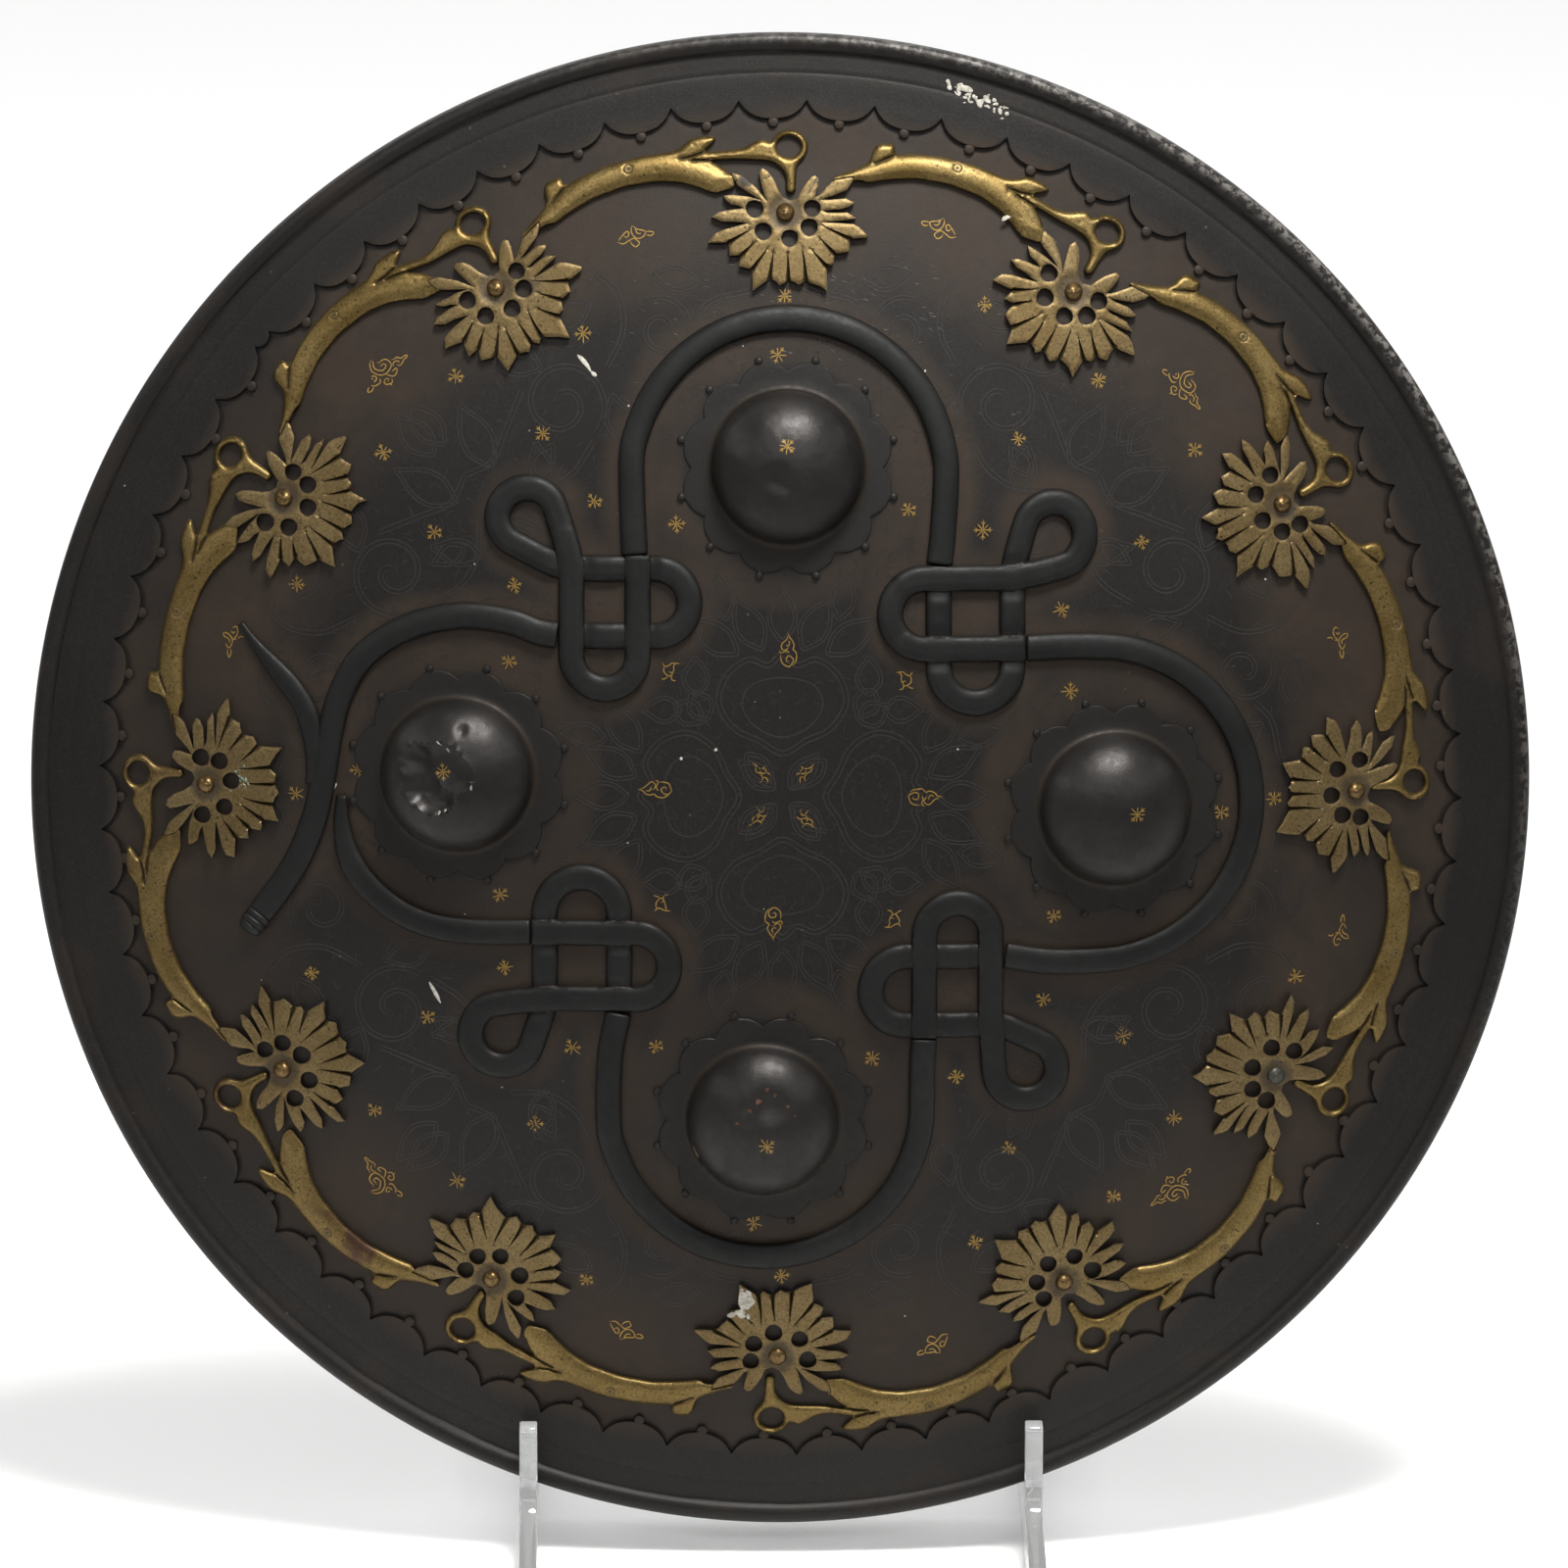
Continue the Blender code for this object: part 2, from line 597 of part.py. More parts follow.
def side_profile():
    """Side plate outline, as (y, z): foot, tooth, seat, upright with a rounded nose."""
    bead_y = -sqrt((RADIUS - BEAD_R) ** 2 - SIDE_X ** 2)
    _, by, bz = world(SIDE_X, bead_y, 0.3)
    seat_r = BEAD_R * 1.25 + 0.5
    front = by - seat_r - 0.5         # inner face of the tooth
    rear = by + seat_r                # front face of the upright
    tooth = 7.5
    foot_h, top_z = 14.6, 40.5
    nose_z = 118.0
    # the hollow of the shield at the height of the nose
    y_loc = (nose_z - CENTRE[2]) / cos(radians(LEAN))
    for _ in range(6):
        n = rise(hypot(SIDE_X, y_loc)) - PLATE
        y_loc = (nose_z - CENTRE[2] - n * sin(radians(LEAN))) / cos(radians(LEAN))
    touch = world(SIDE_X, y_loc, n)[1] + 1.25
    pts = [(FOOT_Y, 0.0), (FOOT_Y, 6.0)]
    pts += arc(FOOT_Y - 4.0, 6.0, 4.0, 0, 90, 2)[1:]
    pts += [(60.0, 12.5)]
    pts += arc(rear + 46.0, 42.0, 30.0, 265, 185, 4)
    pts += [(rear + 13.0, nose_z - 4.0)]
    pts += arc(rear + 6.0, nose_z + 2.0, 7.0, 0, 90, 2)
    pts += arc(touch + 5.0, nose_z + 4.0, 5.0, 90, 180, 2)
    pts += [(touch, nose_z - 4.0), (rear, nose_z - 22.0), (rear, bz)]
    pts += arc((front + rear) / 2, bz, (rear - front) / 2, 0, -180, 4)[1:]
    pts += [(front, top_z - 2.5)]
    pts += arc(front - 2.5, top_z - 2.5, 2.5, 0, 90, 2)[1:]
    pts += arc(front - tooth + 2.5, top_z - 2.5, 2.5, 90, 180, 2)
    pts += arc(front - tooth - 8.0, foot_h + 8.0, 8.0, 0, -90, 3)
    pts += arc(-FOOT_Y + 4.0, 5.0, 4.0, 90, 180, 2)
    pts += [(-FOOT_Y, 0.0)]
    return pts


def stand_side(x):
    bm = bmesh.new()
    face = bm.faces.new([bm.verts.new(Vector((x - SHEET / 2, y, z)) * MM) for y, z in side_profile()])
    geom = bmesh.ops.extrude_face_region(bm, geom=[face])
    move = [g for g in geom["geom"] if isinstance(g, bmesh.types.BMVert)]
    bmesh.ops.translate(bm, vec=Vector((SHEET, 0, 0)) * MM, verts=move)
    bmesh.ops.triangulate(bm, faces=bm.faces[:])
    return finish("stand_side", bm, 30)


def stand_crossbar():
    bm = bmesh.new()
    half = SIDE_X - SHEET / 2 - GAP
    bmesh.ops.create_cube(bm, size=1.0, matrix=Matrix.Translation(Vector((0, 16.0, 34.0)) * MM)
                          @ Matrix.Diagonal(Vector((2 * half, 5.0, 30.0, 1.0 / MM)) * MM))
    bmesh.ops.bevel(bm, geom=bm.edges[:], offset=0.6 * MM, segments=1, affect='EDGES')
    return finish("stand_crossbar", bm, 30)


# =======================================================================================
def material(name, colour, rough, metal, alpha=1.0):
    mat = bpy.data.materials.new(name)
    mat.use_nodes = True
    shader = mat.node_tree.nodes["Principled BSDF"]
    shader.inputs["Base Color"].default_value = (*colour, 1.0)
    shader.inputs["Roughness"].default_value = rough
    shader.inputs["Metallic"].default_value = metal
    if alpha < 1.0:
        shader.inputs["Transmission Weight"].default_value = 1.0 - alpha
        shader.inputs["IOR"].default_value = 1.49
    return mat


def add(name, mesh, mat, parent=None, turn=0.0):
    mesh.name = name
    ob = bpy.data.objects.new(name, mesh)
    bpy.context.scene.collection.objects.link(ob)
    if not mesh.materials:
        mesh.materials.append(mat)
    ob.parent = parent
    ob.rotation_euler = (0.0, 0.0, radians(turn))
    return ob


def main():
    for ob in list(bpy.data.objects):
        bpy.data.objects.remove(ob, do_unlink=True)
    steel = material("dark_steel", (0.048, 0.042, 0.039), 0.55, 0.75)
    relief = material("relief_steel", (0.055, 0.055, 0.058), 0.45, 0.8)
    brass = material("old_brass", (0.42, 0.28, 0.11), 0.42, 1.0)
    pins = material("pin_brass", (0.50, 0.30, 0.10), 0.30, 1.0)
    clear = material("clear_sheet", (0.95, 0.96, 0.97), 0.04, 0.0, 0.05)

    frame = bpy.data.objects.new("shield_frame", None)
    bpy.context.scene.collection.objects.link(frame)
    frame.location = Vector(CENTRE) * MM
    frame.rotation_euler = (radians(90.0 - LEAN), 0.0, 0.0)

    add("shield_plate", shield_plate(), steel, frame)
    for name, centre in BOSSES.items():
        add(name, boss(centre), relief, frame)
    for name, d in KNOTS.items():
        add(name, knot(d), relief, frame)
    for name, path in CORDS.items():
        add(name, cord(path), relief, frame)
    add("cord_left_upper", cord(spline(LEFT_UPPER, STEP)), relief, frame)
    lower = spline(LEFT_INNER + LEFT_LOWER, STEP)
    add("cord_left_lower", cord(lower, lambda t: CORD_W * min(1.0, 0.42 + 2.2 * t)), relief, frame)
    add("cord_tail", cord(spline(TAIL, 7.0), lambda t: 2.0 + 4.2 * min(1.0, 1.6 * t)), relief, frame)

    petals, head = flower(), flower_pin()
    for k in range(REPEATS):
        turn = -WREATH_TURN - PITCH * k
        add("flower_%02d" % (k + 1), petals, brass, frame, turn)
        add("flower_pin_%02d" % (k + 1), head, pins, frame, turn)
        add("vine_%02d" % (k + 1), vine(VINE_BOW[k]), brass, frame, turn + VINE_TURN[k])

    add("stand_side_left", stand_side(-SIDE_X), clear)
    add("stand_side_right", stand_side(SIDE_X), clear)
    add("stand_crossbar", stand_crossbar(), clear)


main()
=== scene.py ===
"""Looks of the dhal: fine meshes in the place of the faceted solids, with old dark steel, cast brass,
gold inlay and a clear sheet stand.  Plan coordinates are millimetres on the shield's flat rim plane
(x right, y up the face, z out of the face); lift() puts them on the dome."""
import bpy
import bmesh
import numpy as np
from math import sin, cos, pi, radians, degrees, hypot, atan2, sqrt, exp
from mathutils import Matrix, Vector
from mathutils.geometry import delaunay_2d_cdt

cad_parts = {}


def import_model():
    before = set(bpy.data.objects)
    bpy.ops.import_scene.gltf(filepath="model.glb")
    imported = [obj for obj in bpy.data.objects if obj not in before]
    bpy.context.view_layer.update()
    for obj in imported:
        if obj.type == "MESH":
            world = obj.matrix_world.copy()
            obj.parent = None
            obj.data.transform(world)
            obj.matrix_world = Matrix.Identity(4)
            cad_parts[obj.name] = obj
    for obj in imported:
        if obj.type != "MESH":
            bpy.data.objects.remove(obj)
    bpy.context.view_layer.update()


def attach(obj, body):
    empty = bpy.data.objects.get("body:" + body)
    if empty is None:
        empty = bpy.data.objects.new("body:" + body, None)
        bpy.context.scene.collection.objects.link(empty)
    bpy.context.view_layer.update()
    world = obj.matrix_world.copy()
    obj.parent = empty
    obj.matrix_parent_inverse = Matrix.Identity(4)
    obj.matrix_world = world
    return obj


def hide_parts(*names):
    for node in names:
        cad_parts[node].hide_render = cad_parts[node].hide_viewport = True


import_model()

# ---- sizes shared with the solids ------------------------------------------------------
RADIUS = 210.0
PLATE = 1.9
CROWN_SLOPE, CROWN_END, BRIM_START, BRIM_SLOPE = 0.4357, 0.80, 0.97, 0.19
BEAD_R = 3.0
BORDER_STEP = 1.25
SCALLOPS, SCALLOP_PITCH, CLOSING_AT = 65, 5.512, 138.5
CUSP_R, SCALLOP_R, BORDER_UP = 190.6, 185.5, 0.6
LEAN = 10.0
CENTRE = Vector((0.0, 19.3, 215.6))
SHIELD = Matrix.Translation(CENTRE * 0.001) @ Matrix.Rotation(radians(90.0 - LEAN), 4, "X")
WREATH_R, WREATH_TURN = 160.6, 0.4
BOSSES = {"boss_top": (1.5, 90.6), "boss_right": (92.2, -4.4),
          "boss_bottom": (-5.4, -91.2), "boss_left": (-89.9, 5.4)}
BOSS_R, BOSS_H = 21.0, 15.6
SIDE_X, SHEET, FOOT_Y = 71.0, 5.0, 110.0
SUNK = 0.30          # how far a riveted piece is bedded into the face


def rise(rho):
    rho = np.asarray(rho, float)
    q = np.minimum(rho / RADIUS, 1.0)
    s1 = CROWN_SLOPE * CROWN_END
    z = BRIM_SLOPE * (1.0 - np.maximum(q, BRIM_START))
    a = np.clip(q, CROWN_END, BRIM_START)
    sa = s1 + (BRIM_SLOPE - s1) * (a - CROWN_END) / (BRIM_START - CROWN_END)
    z = z + np.where(q < BRIM_START, 0.5 * (sa + BRIM_SLOPE) * (BRIM_START - a), 0.0)
    z = z + np.where(q < CROWN_END, 0.5 * CROWN_SLOPE * (CROWN_END ** 2 - q * q), 0.0)
    return z * RADIUS


def lifted(xy, h):
    xy = np.asarray(xy, float)
    out = np.empty((len(xy), 3))
    out[:, :2] = xy
    out[:, 2] = rise(np.hypot(xy[:, 0], xy[:, 1])) + h
    return out


def smooth01(x, a, b):
    t = np.clip((np.asarray(x, float) - a) / (b - a), 0.0, 1.0)
    return t * t * (3 - 2 * t)


def pol(r, deg):
    return np.array([r * cos(radians(deg)), r * sin(radians(deg))])


# ---- seeded smooth noise, used for unevenness and for stains ---------------------------
_rng = np.random.default_rng(11)
_LAT = _rng.random((64, 64))


def noise2(x, y, size, seed=0):
    """Smooth value noise in 0..1 with features of the given size in mm."""
    u = np.asarray(x, float) / size + 17.3 * seed
    v = np.asarray(y, float) / size + 31.7 * seed
    i, j = np.floor(u).astype(int), np.floor(v).astype(int)
    fu, fv = u - i, v - j
    fu, fv = fu * fu * (3 - 2 * fu), fv * fv * (3 - 2 * fv)
    a, b = _LAT[i % 64, j % 64], _LAT[(i + 1) % 64, j % 64]
    c, d = _LAT[i % 64, (j + 1) % 64], _LAT[(i + 1) % 64, (j + 1) % 64]
    return (a * (1 - fu) + b * fu) * (1 - fv) + (c * (1 - fu) + d * fu) * fv


def fbm(x, y, size, seed=0, octaves=3):
    total, amp, norm = 0.0, 1.0, 0.0
    for k in range(octaves):
        total = total + amp * noise2(x, y, size / 2 ** k, seed + k * 3)
        norm += amp
        amp *= 0.5
    return total / norm


# ---- mesh helpers ----------------------------------------------------------------------
def make(name, co, faces, mats, nodes=(), sharp=35.0, attrs=None, local=True,
         face_mat=None):
    me = bpy.data.meshes.new(name)
    co = np.asarray(co, float) * 0.001
    if local:
        co = co @ np.array(SHIELD.to_3x3()).T + np.array(SHIELD.translation)
    me.from_pydata(co.tolist(), [], faces)
    me.validate()
    for m in (mats if isinstance(mats, (list, tuple)) else [mats]):
        me.materials.append(m)
    for key, val in (attrs or {}).items():
        a = me.attributes.new(key, "FLOAT", "POINT")
        a.data.foreach_set("value", np.asarray(val, np.float32))
    if face_mat is not None and len(face_mat) == len(me.polygons):
        me.polygons.foreach_set("material_index", np.asarray(face_mat, np.int32))
    bm = bmesh.new()
    bm.from_mesh(me)
    bmesh.ops.recalc_face_normals(bm, faces=bm.faces[:])
    bm.to_mesh(me)
    bm.free()
    me.shade_smooth()
    if sharp:
        me.set_sharp_from_angle(angle=radians(sharp))
    ob = bpy.data.objects.new(name, me)
    bpy.context.scene.collection.objects.link(ob)
    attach(ob, "root")
    if nodes:
        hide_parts(*nodes)
    return ob


class Mesh:
    """Collects points and faces of one closed mesh."""

    def __init__(self):
        self.co, self.faces, self.n = [], [], 0
        self.att = []

    def add(self, pts, att=0.0):
        pts = np.asarray(pts, float).reshape(-1, 3)
        self.co.append(pts)
        self.att.append(np.broadcast_to(np.asarray(att, float), (len(pts),)).copy())
        idx = np.arange(self.n, self.n + len(pts))
        self.n += len(pts)
        return idx

    def strip(self, a, b, closed=True):
        a, b = np.asarray(a), np.asarray(b)
        if closed:
            a2, b2 = np.roll(a, -1), np.roll(b, -1)
        else:
            a2, b2, a, b = a[1:], b[1:], a[:-1], b[:-1]
        self.faces += np.stack([a, a2, b2, b], 1).tolist()

    def halve(self, a, b):
        """Joins ring a to ring b, which has half as many points."""
        n = len(b)
        for j in range(n):
            a0, a1, a2 = a[2 * j], a[2 * j + 1], a[(2 * j + 2) % len(a)]
            b0, b1 = b[j], b[(j + 1) % n]
            self.faces += [(a0, a1, b0), (a1, a2, b1), (a1, b1, b0)]

    def fan(self, ring, tip):
        n = len(ring)
        self.faces += [(int(ring[i]), int(ring[(i + 1) % n]), int(tip)) for i in range(n)]

    def data(self):
        return np.concatenate(self.co), self.faces

    def attr(self):
        return np.concatenate(self.att)


def resample(points, step, closed=False):
    p = np.asarray(points, float)
    if closed:
        p = np.vstack([p, p[:1]])
    seg = np.hypot(*(p[1:] - p[:-1]).T)
    s = np.concatenate([[0], np.cumsum(seg)])
    n = max(2, int(round(s[-1] / step)))
    t = np.linspace(0, s[-1], n + 1)
    out = np.stack([np.interp(t, s, p[:, 0]), np.interp(t, s, p[:, 1])], 1)
    return out[:-1] if closed else out


def spline(points, step=1.5, closed=False):
    """Catmull-Rom curve through the points, in even steps."""
    p = np.asarray(points, float)
    q = np.vstack([p[-1:], p, p[:2]]) if closed else \
        np.vstack([2 * p[:1] - p[1:2], p, 2 * p[-1:] - p[-2:-1]])
    out = []
    for i in range(len(q) - 3):
        a, b, c, d = q[i:i + 4]
        for t in np.arange(10) / 10:
            out.append(0.5 * (2 * b + (c - a) * t + (2 * a - 5 * b + 4 * c - d) * t ** 2
                              + (3 * b - a - 3 * c + d) * t ** 3))
    if not closed:
        out.append(q[-2])
    return resample(out, step, closed)


def sided(path, width, closed=False):
    """Left and right edges of a band along a path; width may vary."""
    p = np.asarray(path, float)
    if closed:
        t = np.roll(p, -1, 0) - np.roll(p, 1, 0)
    else:
        t = np.gradient(p, axis=0)
    t /= np.linalg.norm(t, axis=1)[:, None]
    nrm = np.stack([-t[:, 1], t[:, 0]], 1)
    w = np.broadcast_to(np.asarray(width, float), (len(p),))[:, None] / 2
    return p + nrm * w, p - nrm * w


def in_loops(pts, loops):
    """Even-odd test of many points against closed loops."""
    x, y = pts[:, 0], pts[:, 1]
    hit = np.zeros(len(pts), bool)
    for loop in loops:
        a = np.asarray(loop)
        b = np.roll(a, -1, 0)
        for (x0, y0), (x1, y1) in zip(a, b):
            if y0 == y1:
                continue
            c = (y0 > y) != (y1 > y)
            hit ^= c & (x < x0 + (y - y0) / (y1 - y0) * (x1 - x0))
    return hit


def dist_to(pts, segs):
    """Least distance from each point to a set of segments (M, 4)."""
    pts = np.asarray(pts, float)
    best = np.full(len(pts), 1e9)
    a, b = segs[:, :2], segs[:, 2:]
    d = b - a
    L2 = np.maximum((d ** 2).sum(1), 1e-12)
    for k in range(0, len(pts), 2000):
        p = pts[k:k + 2000, None, :]
        t = np.clip(((p - a) * d).sum(2) / L2, 0, 1)
        q = a + t[..., None] * d
        best[k:k + 2000] = np.sqrt(((p - q) ** 2).sum(2)).min(1)
    return best


def loop_segs(loops, closed=True):
    out = []
    for loop in loops:
        a = np.asarray(loop, float)
        b = np.roll(a, -1, 0)
        if not closed:
            a, b = a[:-1], b[:-1]
        out.append(np.hstack([a, b]))
    return np.vstack(out)


def lattice(loops, step, clear):
    """Even triangular lattice inside the loops, kept clear of their edges."""
    allp = np.vstack(loops)
    lo, hi = allp.min(0), allp.max(0)
    rows = np.arange(lo[1], hi[1], step * 0.866)
    pts = [np.stack([np.arange(lo[0] + (i % 2) * step / 2, hi[0], step),
                     np.full(len(np.arange(lo[0] + (i % 2) * step / 2, hi[0], step)), y)], 1)
           for i, y in enumerate(rows)]
    pts = np.vstack(pts)
    pts = pts[in_loops(pts, loops)]
    return pts[dist_to(pts, loop_segs(loops)) > clear]


def largest(tri, n):
    """The largest connected group of triangles."""
    root = np.arange(n)
    while True:
        low = root[tri].min(1)
        new = root.copy()
        for j in range(3):
            np.minimum.at(new, tri[:, j], low)
        if (new == root).all():
            break
        root = new
    group = root[tri[:, 0]]
    ids, count = np.unique(group, return_counts=True)
    return tri[group == ids[count.argmax()]]


def grown(loop, gap):
    """An outline moved outward by a small gap."""
    loop = np.asarray(loop, float)

    def area2(q):
        r = np.roll(q, -1, 0)
        return abs((q[:, 0] * r[:, 1] - q[:, 1] * r[:, 0]).sum())
    out = max(sided(loop, 2 * gap, True), key=area2)
    return out[dist_to(out, loop_segs([loop])) > gap * 0.97]


def relief(name, loops, height, low, mat, creases=(), step=0.7, nodes=(),
           sharp=40.0, keep=None, place=lifted, attr=None, extra=(), wall_mid=True, clear=None, cut=()):
    """A closed piece from a plan: loops are its outline and holes, height(xy) its top.

    Whatever lies inside one of the cut loops, such as a neighbour's outline, is left away."""
    pts, edges = [], []
    n = 0
    for loop in loops:
        m = len(loop)
        pts.append(np.asarray(loop, float))
        edges += [(n + i, n + (i + 1) % m) for i in range(m)]
        n += m
    for line in creases:
        m = len(line)
        pts.append(np.asarray(line, float))
        edges += [(n + i, n + i + 1) for i in range(m - 1)]
        n += m
    for loop in cut:
        m = len(loop)
        pts.append(np.asarray(loop, float))
        edges += [(n + i, n + (i + 1) % m) for i in range(m)]
        n += m
    cut_segs = loop_segs(cut) if len(cut) else None

    def off_cut(q):
        return q if cut_segs is None else q[dist_to(q, cut_segs) > 0.20]
    solid = keep is None
    if solid:
        free = lattice(loops, step, clear or step * 0.55)
        if len(creases):
            free = free[dist_to(free, loop_segs(creases, False)) > step * 0.45]
        pts.append(off_cut(free))
    for e in extra:
        pts.append(off_cut(np.asarray(e, float)))
    allp = np.vstack(pts)
    v, _, f, *_ = delaunay_2d_cdt([Vector(p) for p in allp.tolist()], edges, [], 0, 1e-4)
    v = np.array([(p.x, p.y) for p in v])
    tri = np.array([t for t in f if len(t) == 3])
    mid = v[tri].mean(1)
    tri = tri[in_loops(mid, loops) if solid else keep(mid)]
    if len(cut):
        tri = largest(tri[~in_loops(v[tri].mean(1), cut)], len(v))
    used = np.unique(tri)
    remap = -np.ones(len(v), int)
    remap[used] = np.arange(len(used))
    v, tri = v[used], remap[tri]
    # outline edges, as directed pairs
    und = {}
    for a, b, c in tri.tolist():
        for e in ((a, b), (b, c), (c, a)):
            und[e] = True
    rim = [e for e in und if (e[1], e[0]) not in und]
    top = place(v, height(v))
    rim_v = sorted({a for e in rim for a in e})
    pos = {a: i for i, a in enumerate(rim_v)}
    nt = len(v)
    co = [top]
    faces = tri.tolist()
    base = place(v[rim_v], np.full(len(rim_v), low))
    if wall_mid:
        mid_h = top[rim_v].copy()
        mid_h = mid_h * 0.45 + base * 0.55
        co.append(mid_h)
        for a, b in rim:
            ia, ib = nt + pos[a], nt + pos[b]
            faces.append((b, a, ia, ib))
        m0 = nt
        nt += len(rim_v)
        co.append(base)
        for a, b in rim:
            faces.append((m0 + pos[b], m0 + pos[a], nt + pos[a], nt + pos[b]))
    else:
        co.append(base)
        for a, b in rim:
            faces.append((b, a, nt + pos[a], nt + pos[b]))
    # underside from the outline alone
    rim_xy = v[rim_v]
    re = [(pos[a], pos[b]) for a, b in rim]
    bv, _, bf, ov, *_ = delaunay_2d_cdt([Vector(p) for p in rim_xy.tolist()], re, [], 0, 1e-4)
    bv = np.array([(p.x, p.y) for p in bv])
    back = [o[0] if o else -1 for o in ov]
    if -1 not in back and len(bv) == len(rim_xy):
        bt = np.array([t for t in bf if len(t) == 3])
        bm_ = bv[bt].mean(1)
        ok = in_loops(bm_, [rim_xy[[pos_i for pos_i in order]] for order in ring_orders(re)])
        for t in bt[ok].tolist():
            faces.append(tuple(nt + back[i] for i in t[::-1]))
    co = np.vstack(co)
    attrs = None
    if attr is not None:
        a = np.zeros(len(co))
        a[:len(v)] = attr(v)
        # walls and underside get the full mask: on brass a dark brown that is painted shade on the walls, on steel
        # brown dirt
        a[len(v):] = 1.0
        attrs = {"brown_dirt_and_shade": a}
    return make(name, co, faces, mat, nodes, sharp, attrs)


def ring_orders(edges):
    follow = {}
    for a, b in edges:
        follow.setdefault(a, []).append(b)
    out = []
    while follow:
        a = next(iter(follow))
        b = follow[a].pop()
        if not follow[a]:
            del follow[a]
        ring = [a]
        while b != a and b in follow:
            ring.append(b)
            nxt = follow[b].pop()
            if not follow[b]:
                del follow[b]
            b = nxt
        out.append(ring)
    return out


# ---- materials -------------------------------------------------------------------------
class Tree:
    def __init__(self, name):
        self.mat = bpy.data.materials.new(name)
        self.mat.use_nodes = True
        self.nt = self.mat.node_tree
        self.sh = self.nt.nodes["Principled BSDF"]
        self.co = self.nt.nodes.new("ShaderNodeTexCoord").outputs["Object"]

    def n(self, kind, **kw):
        node = self.nt.nodes.new(kind)
        for k, v in kw.items():
            setattr(node, k, v)
        return node

    def link(self, a, b):
        self.nt.links.new(a, b)

    def noise(self, scale, detail=3.0, rough=0.55, distort=0.0, vec=None):
        x = self.n("ShaderNodeTexNoise")
        x.inputs["Scale"].default_value = scale
        x.inputs["Detail"].default_value = detail
        x.inputs["Roughness"].default_value = rough
        x.inputs["Distortion"].default_value = distort
        self.link(vec or self.co, x.inputs["Vector"])
        return x.outputs["Fac"]

    def voronoi(self, scale, feature="F1", vec=None, rand=1.0, out="Distance"):
        x = self.n("ShaderNodeTexVoronoi", feature=feature)
        x.inputs["Scale"].default_value = scale
        x.inputs["Randomness"].default_value = rand
        self.link(vec or self.co, x.inputs["Vector"])
        return x.outputs[out]

    def ramp(self, fac, stops, interp="LINEAR"):
        x = self.n("ShaderNodeValToRGB")
        x.color_ramp.interpolation = interp
        el = x.color_ramp.elements
        while len(el) < len(stops):
            el.new(0.5)
        for e, (p, c) in zip(el, stops):
            e.position = p
            e.color = (*c, 1.0) if isinstance(c, tuple) else (c, c, c, 1.0)
        self.link(fac, x.inputs["Fac"])
        return x.outputs["Color"]

    def mix(self, fac, a, b, mode="MIX"):
        x = self.n("ShaderNodeMix", data_type="RGBA", blend_type=mode)
        for val, key in ((fac, 0), (a, 6), (b, 7)):
            if isinstance(val, bpy.types.NodeSocket):
                self.link(val, x.inputs[key])
            elif isinstance(val, tuple):
                x.inputs[key].default_value = (*val, 1.0)
            else:
                x.inputs[key].default_value = val
        return x.outputs[2]

    def math(self, op, a, b=0.0, clamp=False):
        x = self.n("ShaderNodeMath", operation=op, use_clamp=clamp)
        for val, key in ((a, 0), (b, 1)):
            if isinstance(val, bpy.types.NodeSocket):
                self.link(val, x.inputs[key])
            else:
                x.inputs[key].default_value = val
        return x.outputs[0]

    def attr(self, name):
        x = self.n("ShaderNodeAttribute", attribute_type="GEOMETRY", attribute_name=name)
        return x.outputs["Fac"]

    def bump(self, height, strength, distance, prev=None):
        x = self.n("ShaderNodeBump")
        x.inputs["Strength"].default_value = strength
        x.inputs["Distance"].default_value = distance
        self.link(height, x.inputs["Height"])
        if prev is not None:
            self.link(prev, x.inputs["Normal"])
        return x.outputs["Normal"]

    def done(self, colour, rough, normal=None, metal=0.0, **plain):
        self.link(colour, self.sh.inputs["Base Color"])
        if isinstance(rough, bpy.types.NodeSocket):
            self.link(rough, self.sh.inputs["Roughness"])
        else:
            self.sh.inputs["Roughness"].default_value = rough
        if isinstance(metal, bpy.types.NodeSocket):
            self.link(metal, self.sh.inputs["Metallic"])
        else:
            self.sh.inputs["Metallic"].default_value = metal
        if normal is not None:
            self.link(normal, self.sh.inputs["Normal"])
        for k, v in plain.items():
            self.sh.inputs[k.replace("_", " ")].default_value = v
        return self.mat


def lum(v):
    return (v, v, v)


